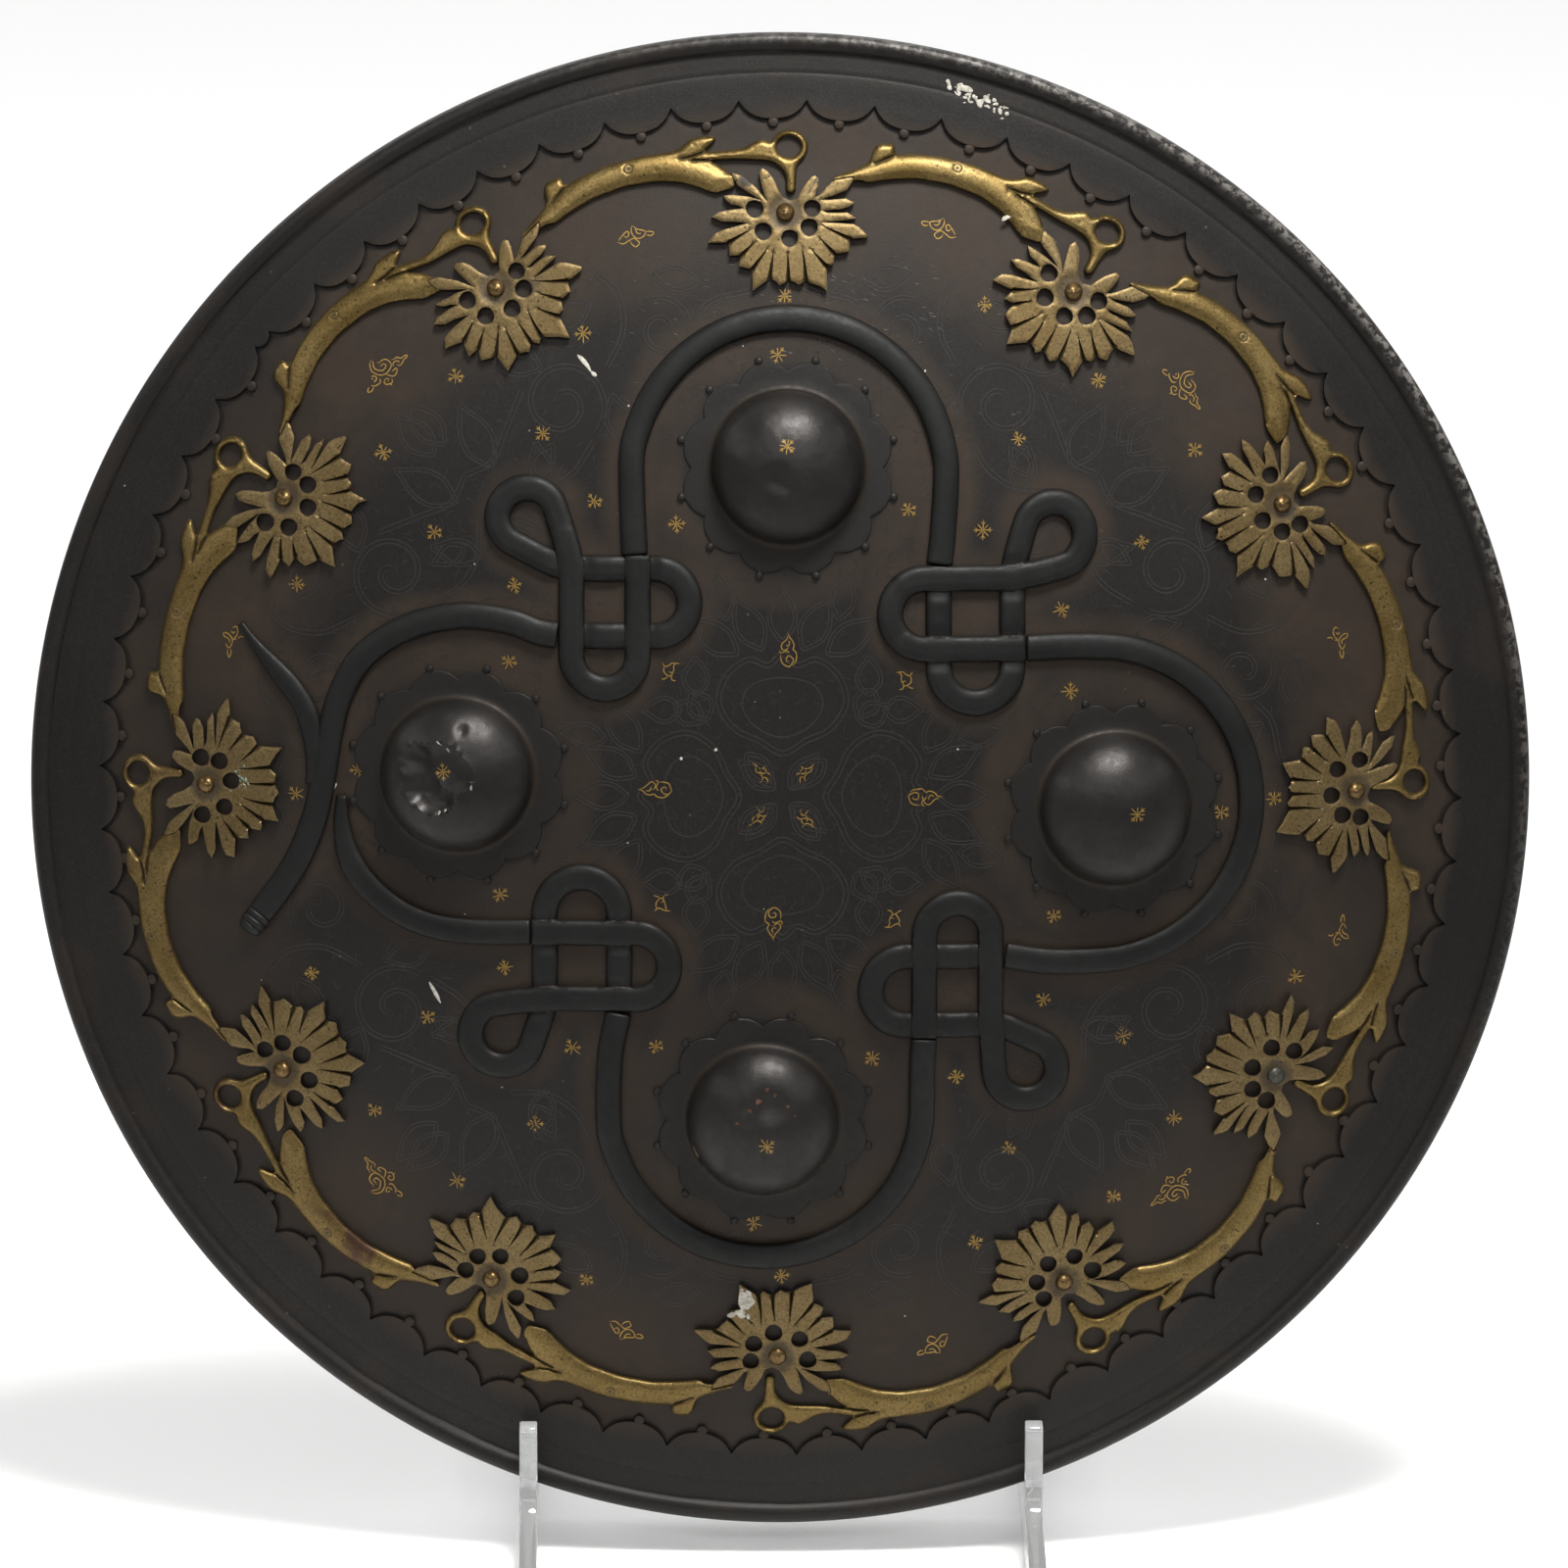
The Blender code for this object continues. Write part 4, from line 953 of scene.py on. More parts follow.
def boss_height(name, x, y):
    """Height of the boss above its seat, measured along its own axis."""
    cx, cy, _ = boss_frame(name)
    r = np.hypot(x - cx, y - cy)
    h = 0.5 + (BOSS_H - 0.5) * np.sqrt(np.maximum(0.0, 1 - (r / 21.35) ** 2))
    k = smooth01(r, 21.0, 17.0)
    if name == "boss_left":
        # the crown is crushed in, with a sharp crease along its upper right edge
        ux, uy = x + 93.9, y - 6.0
        th = np.arctan2(uy, ux)
        rc = 9.7 * (1 + 0.07 * np.sin(3 * th + 0.6) + 0.05 * np.sin(5 * th + 2.0))
        q = np.hypot(ux, uy) / rc
        rim = 0.5 + (BOSS_H - 0.5) * np.sqrt(np.maximum(0.0, 1 - ((np.minimum(r, 99) + (1 - q) * 6.0).clip(0, 21) / 21.35) ** 2))
        floor = rim - 3.4 * np.clip(1 - q * q, 0, 1) ** 0.75
        h = np.where(q < 1, np.minimum(h, floor), h + 0.35 * np.exp(-((q - 1.0) / 0.07) ** 2))
        u, v = ux * 0.8 + uy * 0.6, -ux * 0.6 + uy * 0.8
        h = h + 0.9 * np.exp(-(u / 1.1) ** 2) * np.exp(-((v + 2.0) / 4.5) ** 2)
    for dx, dy, dr, dh in DENTS[name]:
        q = np.hypot(x - dx, y - dy) / dr
        h = h - dh * np.exp(-(q ** 2) * 1.6) * k
    h = h + 0.34 * (fbm(x, y, 8.0, 12) - 0.5) * k + 0.10 * (noise2(x, y, 1.7, 13) - 0.5) * k
    return h


def build_boss(name):
    cx, cy, up = boss_frame(name)
    m = Mesh()
    n = 144
    deg = 360.0 * np.arange(n) / n
    t = np.radians(deg)
    q = np.abs(((deg + 15.0) % 30.0) - 15.0) / 15.0      # 0 at a valley, 1 at a knob
    # ogee lobe: rises quickly from the valley, rounds over, then turns out to the knob
    lobe_r = 26.5 + 2.75 * np.sin(np.clip(q / 0.80, 0, 1) * pi / 2) ** 0.9 + 1.25 * smooth01(q, 0.80, 1.0)
    lobe_r += 0.25 * (noise2(cx + 30 * np.cos(t), cy + 30 * np.sin(t), 6.0, 14) - 0.5)

    def row(r, h, att=0.0, dome=False):
        rr = np.broadcast_to(np.asarray(r, float), (n,))
        x, y = cx + rr * np.cos(t), cy + rr * np.sin(t)
        p = lifted(np.stack([x, y], 1), -0.02)
        if dome:
            h = boss_height(name, x, y)
        p = p + np.asarray(h, float).reshape(-1, 1) * up
        return m.add(p, att)

    tip_xy = np.array([[cx, cy]])
    tip = m.add(lifted(tip_xy, 0.0) + boss_height(name, np.array([cx]), np.array([cy])).reshape(-1, 1) * up)
    rows = [row(r, 0, 0.0, True) for r in (0.9, 1.9, 3.0, 4.1, 5.2, 6.3, 7.4, 8.5, 9.6, 10.7, 11.8,
                                           12.9, 14.0, 15.0, 16.0, 17.0, 17.9, 18.7, 19.4, 20.0, 20.5)]
    rows += [row(20.9, 2.5, 0.45), row(21.3, 1.45, 0.85), row(21.9, 0.95, 0.75), row(22.8, 0.74, 0.40)]
    on_dome = len(rows) - 4
    rows += [row(lobe_r * a + 22.8 * (1 - a), 0.72, b) for a, b in ((0.35, 0.1), (0.75, 0.0), (0.92, 0.0))]
    rows += [row(lobe_r - 0.12, 0.68, 0.0), row(lobe_r + 0.08, 0.48, 0.4), row(lobe_r + 0.08, -0.30, 1.0)]
    m.fan(rows[0], tip[0])
    for j, (a, b) in enumerate(zip(rows, rows[1:])):
        if j == on_dome:
            dome_faces = len(m.faces)
        m.strip(a, b)
    prev = rows[-1]
    for r in (20.0, 10.0):
        cur = row(r, -0.30, 1.0)
        m.strip(prev, cur)
        prev = cur
    low = m.add(lifted(tip_xy, -0.32), 1.0)
    m.fan(prev, low[0])
    # knobs on the lobes
    for k in range(12):
        d = radians(15 + 30 * k)
        kr = 30.45
        kx, ky = cx + kr * cos(d), cy + kr * sin(d)
        rk = 1.12
        prev = None
        tt = 2 * np.pi * np.arange(12) / 12
        for fr, fh, at in ((1.0, -0.15, 1.0), (1.0, 0.62, 0.45), (0.84, 0.98, 0.05), (0.50, 1.16, 0.0)):
            cur = m.add(lifted(np.stack([kx + rk * fr * np.cos(tt), ky + rk * fr * np.sin(tt)], 1), fh), at)
            if prev is None:
                base = cur
            else:
                m.strip(prev, cur)
            prev = cur
        m.fan(prev, m.add(lifted([[kx, ky]], 1.22))[0])
        m.fan(base[::-1], m.add(lifted([[kx, ky]], -0.15), 1.0)[0])
    co, faces = m.data()
    seat = (np.arange(len(faces)) >= dome_faces).astype(int)
    return make(name + "_cover", co, faces, [BOSS, SEAT], (name,), 34.0, {"brown_dirt_and_shade": m.attr()},
                face_mat=seat)


# ---- cords -----------------------------------------------------------------------------
def build_cord(name, path, width=CORD_W, height=2.95, blunt=(True, True), rings=()):
    p = np.asarray(path, float)
    if rings:
        far = resample(p[-12:], 0.25)
        p = np.vstack([p[:-12], far])
    else:
        p = np.vstack([p[:-3], resample(p[-3:], 0.22)])
    p = np.vstack([resample(p[:3], 0.22), p[3:]])
    n = len(p)
    s = np.concatenate([[0], np.cumsum(np.hypot(*(p[1:] - p[:-1]).T))])
    w = width(s / s[-1]) if callable(width) else np.full(n, float(width))
    w = w + 0.16 * (noise2(s, s * 0, 11.0, 20) - 0.5)
    k = np.ones(n)
    if blunt[0]:
        k = np.minimum(k, np.sqrt(np.clip(1 - (1 - np.clip(s / 1.0, 0, 1)) ** 2, 0, 1)))
    if blunt[1]:
        reach = 3.2 if rings else 1.0
        k = np.minimum(k, np.sqrt(np.clip(1 - (1 - np.clip((s[-1] - s) / reach, 0, 1)) ** 2, 0, 1)))
    cut = np.zeros(n)
    for at in rings:
        cut = np.maximum(cut, np.clip(1 - np.abs(s[-1] - s - at) / 0.55, 0, 1))
    t = np.gradient(p, axis=0)
    t /= np.linalg.norm(t, axis=1)[:, None]
    nrm = np.stack([-t[:, 1], t[:, 0]], 1)
    m = Mesh()
    u = np.array([-1.0, -1.0, -0.985, -0.94, -0.86, -0.74, -0.58, -0.40, -0.20, 0.0,
                  0.20, 0.40, 0.58, 0.74, 0.86, 0.94, 0.985, 1.0, 1.0])
    prof = np.concatenate([[0.0], 0.30 + 0.70 * np.sqrt(np.maximum(0, 1 - np.abs(u[1:-1]) ** 2.35)), [0.0]])
    prof[0], prof[-1] = -0.06, -0.06
    rows = []
    for i in range(n):
        endk = (0.25 if rings and s[-1] - s[i] < 5 else 0.68) * (1 - k[i]) + k[i]
        half = w[i] / 2 * ((0.45 + 0.55 * k[i]) if rings and s[-1] - s[i] < 5 else (0.93 + 0.07 * k[i]))
        half *= 1 - 0.07 * cut[i]
        xy = p[i] + nrm[i] * (u[:, None] * half)
        f = min(1.0, 0.35 + 0.65 * w[i] / CORD_W)
        h = prof * (height * f * endk - 0.55 * cut[i])
        h = np.where(prof > 0, h + 0.07 * (noise2(xy[:, 0], xy[:, 1], 3.0, 21) - 0.5), -SUNK)
        att = np.where(np.abs(u) > 0.97, 1.0, np.where(np.abs(u) > 0.9, 0.45, 0.0))
        att = np.maximum(att, 0.8 * (1 - k[i]) * (0.3 if rings and s[-1] - s[i] < 5 else 1.0))
        rows.append(m.add(lifted(xy, h), np.maximum(att, 0.9 * cut[i])))
    for a, b in zip(rows, rows[1:]):
        m.strip(a, b, closed=True)
    for r in (rows[0], rows[-1]):
        m.faces.append([int(i) for i in r])
    co, faces = m.data()
    return make(name + "_band", co, faces, CORD, (name,), 42.0, {"brown_dirt_and_shade": m.attr()})


# ---- knots -----------------------------------------------------------------------------
def build_knot(name):
    path = knot_path(KNOTS[name], 0.55)
    d = KNOTS[name]
    sx, sy = d["s"]
    vertical_over = name in ("knot_upper_left", "knot_lower_right")
    segs = loop_segs([path], False)
    mids = (segs[:, :2] + segs[:, 2:]) / 2
    dirs = segs[:, 2:] - segs[:, :2]
    # straight runs that cross, grown a little past each crossing
    xs, ys = (sx * d["xi"], sx * d["xo"]), (sy * d["yi"], sy * d["yo"])
    cross = np.array([(x, y) for x in xs for y in ys])
    near_c = np.hypot(mids[:, None, 0] - cross[:, 0], mids[:, None, 1] - cross[:, 1]).min(1) < 9.5
    vert = np.abs(dirs[:, 1]) > np.abs(dirs[:, 0])
    over = near_c & (vert == vertical_over)
    half = CORD_W / 2
    left, right = sided(path, CORD_W)
    l1, r1 = sided(path, CORD_W - 1.0)
    l2, r2 = sided(path, CORD_W - 2.6)

    def past_end(p):
        """Distance beyond each squared end; the ends lie on the outer edges of the crossing strands."""
        a = np.where(np.abs(p[:, 0] - sx * d["xi"]) < half + 0.3, sy * p[:, 1] - (d["yo"] + half), -9.0)
        b = np.where(np.abs(p[:, 1] - sy * d["yi"]) < half + 0.3, sx * p[:, 0] - (d["xo"] + half), -9.0)
        return np.maximum(a, b)

    def keep(p):
        return (dist_to(p, segs) < half - 1e-3) & (past_end(p) < 0.02) if len(p) else np.zeros(0, bool)

    def height(p):
        da = dist_to(p, segs)
        do = dist_to(p, segs[over])
        e = np.clip((half - da) / 2.7, 0, 1)
        h = 0.95 + 1.70 * np.sqrt(np.clip(1 - (1 - e) ** 2, 0, 1))
        # the strand on top stands clear of the one below
        dc = np.hypot(p[:, None, 0] - cross[:, 0], p[:, None, 1] - cross[:, 1]).min(1)
        w = smooth01(dc, 8.5, 5.0)
        eo = np.clip((half - do) / 2.6, 0, 1)
        ho = 1.35 + 1.45 * np.sqrt(np.clip(1 - (1 - eo) ** 2, 0, 1))
        under = h - 0.75 * w * (do > half - 0.02) * smooth01(do, half + 4.0, half)
        h = np.where(do < half - 0.02, np.maximum(ho, h - 0.4 * w * (1 - eo)), under)
        h = h - 0.55 * np.clip(1 + past_end(p) / 0.9, 0, 1) ** 2
        return h + 0.10 * (noise2(p[:, 0], p[:, 1], 3.2, 23) - 0.5) + 0.12 * (fbm(p[:, 0], p[:, 1], 14.0, 24) - 0.5)

    def att(p):
        da = dist_to(p, segs)
        do = dist_to(p, segs[over])
        a = np.where(da > half - 0.35, 0.8, 0.0)
        a = np.maximum(a, np.where(np.abs(do - half) < 0.35, 0.85, 0.0))
        return a

    box_lo, box_hi = path.min(0) - half, path.max(0) + half
    g = np.array([(x + (j % 2) * 0.31, y) for j, y in enumerate(np.arange(box_lo[1], box_hi[1], 0.54))
                  for x in np.arange(box_lo[0], box_hi[0], 0.62)])
    dg = dist_to(g, segs)
    g = g[(dg < half - 1.7)]
    return relief(name + "_band", [], height, -SUNK, CORD, creases=[left, l1, l2, r2, r1, right],
                  nodes=(name,), keep=keep, attr=att, extra=[g], sharp=48.0)


# ---- flowers ---------------------------------------------------------------------------
FLOWER_EDGE = [
    (-6.58, 11.88), (-4.78, 10.88), (-3.18, 8.88), (-1.98, 6.08), (-0.58, 4.08), (1.22, 3.2), (3.22, 3.68),
    (4.42, 6.08), (5.62, 8.08), (7.22, 9.68), (8.22, 10), (9.22, 9.28), (9.22, 7.68), (8.62, 5.68),
    (8.1, 4.16), (9.42, 4.68), (11.62, 6.88), (13.62, 8.88), (19.22, 9.88), (18.82, 8.48), (16.82, 6.08),
    (13.22, 4.68), (9.46, 3.4), (12.42, 3.48), (16.42, 3.96), (18.74, 2.96), (17.82, 2), (15.62, 1.2),
    (10.34, 0.52), (11.62, 0), (17.22, 0.16), (19.7, -1.32), (18.02, -1.76), (11.62, -2.48), (10.42, -2.64),
    (14.02, -2.8), (19.22, -3.04), (20.82, -3.92), (23.3, -6.24), (22.82, -6.72), (18.02, -7.12),
    (17.62, -10.52), (13.94, -11.24), (13.62, -13.92), (11.54, -14.92), (11.22, -21.32), (9.22, -19.92),
    (5.42, -18.4), (3.54, -19.72), (2.22, -18.92), (0.82, -18.72), (0.02, -19.12), (-1.38, -20),
    (-2.38, -18.92), (-4.18, -18.12), (-8.98, -21.32), (-9.26, -15.92), (-12.78, -15.12), (-12.58, -13.52),
    (-11.98, -11.84), (-15.26, -12), (-15.34, -9.32), (-15.26, -8.4), (-21.1, -8.4), (-19.78, -5.92),
    (-17.18, -4.72), (-10.18, -2.92), (-14.78, -2.4), (-17.58, -2.4), (-20.3, -1.12), (-18.38, 0.08),
    (-15.58, 0.6), (-11.46, 1), (-13.18, 1.88), (-15.18, 2.28), (-16.38, 3.28), (-17.18, 4.48),
    (-14.78, 4.68), (-10.78, 4.28), (-6.9, 3.36), (-10.78, 5.68), (-13.58, 7.48), (-14.78, 9.68),
    (-14.98, 10.88), (-11.78, 9.88), (-8.38, 6.88), (-5.18, 3.08), (-5.78, 4.48), (-6.78, 8.08),
    (-7.38, 10.48),]
FLOWER_GROOVES = [
    ((-8.98, -4.32), (-15.26, -8.4)), ((-8.26, -8), (-11.98, -11.84)), ((-4.38, -9.12), (-9.26, -15.92)),
    ((-3.18, -9.92), (-4.18, -18.12)), ((0.66, -10.08), (0.82, -18.72)), ((4.62, -8.92), (5.42, -18.4)),
    ((6.82, -9.72), (11.54, -14.92)), ((9.1, -6.4), (13.94, -11.24)), ((9.5, -3.2), (18.02, -7.12)),]
FLOWER_HOLES = [
    (-8.58, 0.88), (-6.18, -5.32), (1.22, -7.12), (6.62, -3.92), (7.42, 1.28),]
FLOWER_LOOPS = {}


def edged(points, step, closed=True):
    """Divides straight edges into even steps and keeps every corner."""
    p = np.asarray(points, float)
    q = np.roll(p, -1, 0) if closed else p[1:]
    out = []
    for a, b in zip(p, q):
        n = max(1, int(round(np.hypot(*(b - a)) / step)))
        out += [a + (b - a) * i / n for i in range(n)]
    if not closed:
        out.append(p[-1])
    return np.array(out)


def build_flower(k):
    """One cast flower: flat sharp blades parted by notches and V grooves round a shallow dish."""
    rnd = np.random.default_rng(100 + k)
    ph = rnd.uniform(0, 2 * pi, 6)
    amount = 0.35 if k == 0 else 1.0

    def vary(p):
        p = np.asarray(p, float).reshape(-1, 2)
        r, a = np.hypot(p[:, 0], p[:, 1]), np.arctan2(p[:, 1], p[:, 0])
        w = amount * smooth01(r, 9.0, 15.0)
        a2 = a + w * (0.026 * np.sin(3 * a + ph[0]) + 0.020 * np.sin(7 * a + ph[1]) + 0.010 * np.sin(13 * a + ph[2]))
        r2 = r + w * (0.50 * np.sin(4 * a + ph[3]) + 0.40 * np.sin(9 * a + ph[4]) + 0.25 * np.sin(17 * a + ph[5]))
        if k == 6:      # a broken tip
            r2 = r2 - 2.7 * np.exp(-((a + 0.52) / 0.12) ** 2) * smooth01(r, 14.0, 19.0)
        return np.stack([r2 * np.cos(a2), r2 * np.sin(a2)], 1)
    loop = edged(vary(edged(FLOWER_EDGE, 1.4)), 0.55)
    holes = []
    for cx, cy in FLOWER_HOLES:
        c = np.array([cx, cy]) + rnd.normal(0, 0.06, 2)
        rad = 2.43 + rnd.normal(0, 0.05)
        holes.append(np.array([c + rad * np.array([cos(q), sin(q)]) * (1 + 0.03 * sin(3 * q + k))
                               for q in np.linspace(0, 2 * pi, 29)[:-1]]))
    loops = [loop] + holes
    segs, cre, reach = [], [], []
    for a, b in FLOWER_GROOVES:
        line = vary([np.array(a) + (np.array(b) - np.array(a)) * t for t in np.linspace(0, 1, 9)])
        line = resample(line, 0.5)
        seg = loop_segs([line], False)
        segs.append(seg)
        reach.append((np.arange(len(seg)) + 0.5) / len(seg))
        cre.append(line[:-1])
        d = np.gradient(line, axis=0)
        d /= np.linalg.norm(d, axis=1)[:, None]
        nn = np.stack([-d[:, 1], d[:, 0]], 1)
        t = np.linspace(0, 1, len(line))
        for side in (1, -1):
            cre.append((line + side * nn * (0.05 + 0.67 * t)[:, None])[3:-2])
    seg_g, along = np.vstack(segs), np.concatenate(reach)
    rim_segs, hole_segs = loop_segs([loop]), loop_segs(holes)
    cracks = []
    if k == 0:
        cracks = [resample([(-6.5, 8.9), (-5.4, 9.3), (-4.3, 9.9)], 0.4), resample([(8.4, 8.8), (7.6, 6.9), (6.3, 5.3)], 0.4)]
    elif k == 8:
        cracks = [resample([(-15.5, -6.0), (-14.3, -6.6), (-13.4, -7.6)], 0.4)]
    crack_segs = loop_segs(cracks, False) if cracks else None

    def groove_at(p):
        best, t = np.full(len(p), 9.0), np.zeros(len(p))
        a, b = seg_g[:, :2], seg_g[:, 2:]
        d = b - a
        q = np.clip((((p[:, None] - a) * d).sum(2)) / (d ** 2).sum(1), 0, 1)
        dd = np.sqrt(((p[:, None] - (a + q[..., None] * d)) ** 2).sum(2))
        j = dd.argmin(1)
        return dd[np.arange(len(p)), j], along[j]

    def height(p):
        r = np.hypot(p[:, 0], p[:, 1])
        d, t = groove_at(p)
        h = 2.42 - (0.06 + 1.84 * t ** 0.8) * np.clip(1 - d / (0.05 + 0.67 * t), 0, 1)
        e = np.minimum(dist_to(p, rim_segs), dist_to(p, hole_segs) + 0.08)
        h = h - 0.26 * np.clip(1 - e / 0.40, 0, 1) ** 1.4
        h = h - 0.55 * smooth01(r, 6.3, 3.2)
        h = h - 0.16 * np.clip((r - 17.5) / 5.0, 0, 1)
        if crack_segs is not None:
            h = h - 0.20 * np.clip(1 - dist_to(p, crack_segs) / 0.22, 0, 1)
        x, y = p[:, 0] + 60 * k, p[:, 1]
        pit = np.clip((noise2(x, y, 1.15, 31) - 0.82) / 0.2, 0, 1)
        return h + 0.10 * (fbm(x, y, 6.0, 30, 2) - 0.5) - 0.16 * pit

    # dark brown in the V grooves, growing towards their deep outer ends, and along the outline and hole edges: painted
    # shade over patina; the centre dish, the cracks and the patches of old patina are the brass's own colour
    def att(p):
        r = np.hypot(p[:, 0], p[:, 1])
        d, t = groove_at(p)
        a = np.clip(1.12 - d / (0.10 + 0.62 * t), 0, 1) * (0.55 + 0.5 * t)
        a = np.maximum(a, 0.72 * smooth01(r, 6.6, 3.6))
        e = np.minimum(dist_to(p, rim_segs), dist_to(p, hole_segs))
        a = np.maximum(a, 0.45 * np.clip(1 - e / 0.2, 0, 1))
        if crack_segs is not None:
            a = np.maximum(a, 1.1 * np.clip(1.2 - dist_to(p, crack_segs) / 0.30, 0, 1))
        # dark patches of old patina
        if k == 0:
            a = np.maximum(a, 1.6 * np.exp(-(np.hypot(p[:, 0] + 11.0, p[:, 1] - 8.8) / 2.0) ** 2))
        if k == 11:
            a = np.maximum(a, 0.7 * np.exp(-(np.hypot(p[:, 0] - 10.0, p[:, 1] + 4.0) / 2.6) ** 2))
        return np.clip(a, 0, 1)

    def place(p, h):
        q = lifted(np.stack([p[:, 0], p[:, 1] + WREATH_R], 1), h)
        return turned(q, -WREATH_TURN - 30.0 * k)
    FLOWER_LOOPS[k] = [place(q, np.zeros(len(q)))[:, :2] for q in loops]
    return relief("flower_%02d_cast" % (k + 1), loops, height, -SUNK, BRASS, creases=cre, step=0.62,
                  nodes=("flower_%02d" % (k + 1),), sharp=30.0, place=place, attr=att)


def turned(q, deg):
    c, s = cos(radians(deg)), sin(radians(deg))
    out = q.copy()
    out[:, 0] = q[:, 0] * c - q[:, 1] * s
    out[:, 1] = q[:, 0] * s + q[:, 1] * c
    return out


def build_pin(k):
    m = Mesh()
    n = 28
    t = 2 * np.pi * np.arange(n) / n
    prev = None
    # radius, height and mask of each ring; the mask makes the pin's foot and the crease under its nub dark brown:
    # painted shade
    prof = [(2.62, 1.3, 1.0), (2.62, 1.75, 0.8), (2.50, 2.15, 0.3), (2.25, 2.75, 0.0), (1.85, 3.35, 0.0),
            (1.35, 3.80, 0.0), (0.86, 4.05, 0.1), (0.74, 4.10, 0.5), (0.62, 4.34, 0.0), (0.34, 4.50, 0.0)]
    if k in (4, 6):
        prof = [(r, h if h < 2 else 2.0 + (h - 2) * 0.78, a) for r, h, a in prof]
    for r, h, a in prof:
        xy = np.stack([r * np.cos(t), WREATH_R + r * np.sin(t)], 1)
        cur = m.add(turned(lifted(xy, h), -WREATH_TURN - 30.0 * k), a)
        if prev is None:
            base = cur
        else:
            m.strip(prev, cur)
        prev = cur
    top = prof[-1][1] + 0.05
    m.fan(prev, m.add(turned(lifted([[0, WREATH_R]], top), -WREATH_TURN - 30.0 * k))[0])
    m.fan(base[::-1], m.add(turned(lifted([[0, WREATH_R]], 1.3), -WREATH_TURN - 30.0 * k), 1.0)[0])
    co, faces = m.data()
    name = "flower_pin_%02d" % (k + 1)
    return make(name + "_dome", co, faces, PIN_DULL if k == 4 else PIN, (name,), 40.0,
                {"brown_dirt_and_shade": m.attr()})


# ---- vines -----------------------------------------------------------------------------
VINE_PLAN = [(4.86, 169.9), (4.92, 167.9), (6.95, 166.8), (8.5, 169.0), (10, 170.9), (12, 172.3), (15, 172.9),
             (18, 172.3), (20.5, 170.7), (22.3, 169.2), (22.75, 170.3), (24.0, 169.9), (25.3, 169.4),
             (25.7, 170.0), (24.5, 171.8), (23.0, 173.8), (22.3, 175.5), (22.2, 178.7), (21.8, 180.6),
             (20.3, 180.9), (20.2, 177.9), (18.5, 179.1), (16, 179.9), (13, 180.1), (11, 179.7),
             (10, 179.7), (9.3, 180.6), (8.5, 182.3), (7.2, 182.7), (6.2, 182.1), (6.25, 181.0), (7.5, 178.3),
             (5, 178.1), (3.7, 178.5), (2.9, 179.9), (2.1, 180.8), (1.75, 180.2)]
LIMB_IN = [(4.7, 167.6), (6.95, 166.8), (8.5, 169.0), (10, 170.9), (12, 172.3), (15, 172.9), (18, 172.3),
           (20.5, 170.7), (22.3, 169.2), (23.2, 169.6), (25.8, 169.2)]
LIMB_OUT = [(4.7, 171.0), (5.9, 173.2), (7.2, 175.6), (8.6, 177.5), (10, 178.9), (11, 179.5), (13, 180.1), (16, 179.9),
            (18.5, 179.1), (20.2, 177.9), (21.6, 176.3), (22.8, 174.4), (24.2, 172.2), (25.8, 170.3)]
BLUNT = [(4.86, 169.9), (4.92, 167.9), (6.95, 166.8)]
RING_AT = (-0.33, 178.4)
VINE_TAIL = [(-0.98, 165.7), (-0.02, 165.7), (0.0, 170.2), (0.4, 172.4), (1.2, 174.3), (2.5, 174.8),
             (4.6, 175.4), (7.0, 175.8), (6.3, 174.6), (5.4, 172.4)]
VINE_BOWS = (-1.3, .1, 1.5, -1.2, -.1, 1.3, 1.2, -1.5, 0.0, 2.2, -3.0, 2.1)
VINE_TURNS = (-.1, 0, .2, .6, .5, -.4, -.5, .3, .6, -.45, -.2, -.5)
VINE_RINGS = ((-.35, 178.4), (-.1, 179.2), (0, 178.4), (.58, 177.0), (.5, 178.6), (-.4, 179.4),
              (-.5, 178.9), (.15, 177.5), (-.1, 177.4), (-.75, 179.5), (-.75, 179.1), (-1.0, 178.9))
VINE_RIVETS = ((14.3, 177.5), (14.5, 179.4), (14.6, 179.7), (15.1, 177.8), (15, 178.7), (14, 180.8),
               (13.8, 180.5), (14.7, 177.8), (15.1, 179.2), (13.9, 181.2), (14.2, 175.6), (13.8, 181.3))


def va(deg, rho):
    return np.array([-rho * sin(radians(deg)), rho * cos(radians(deg))])


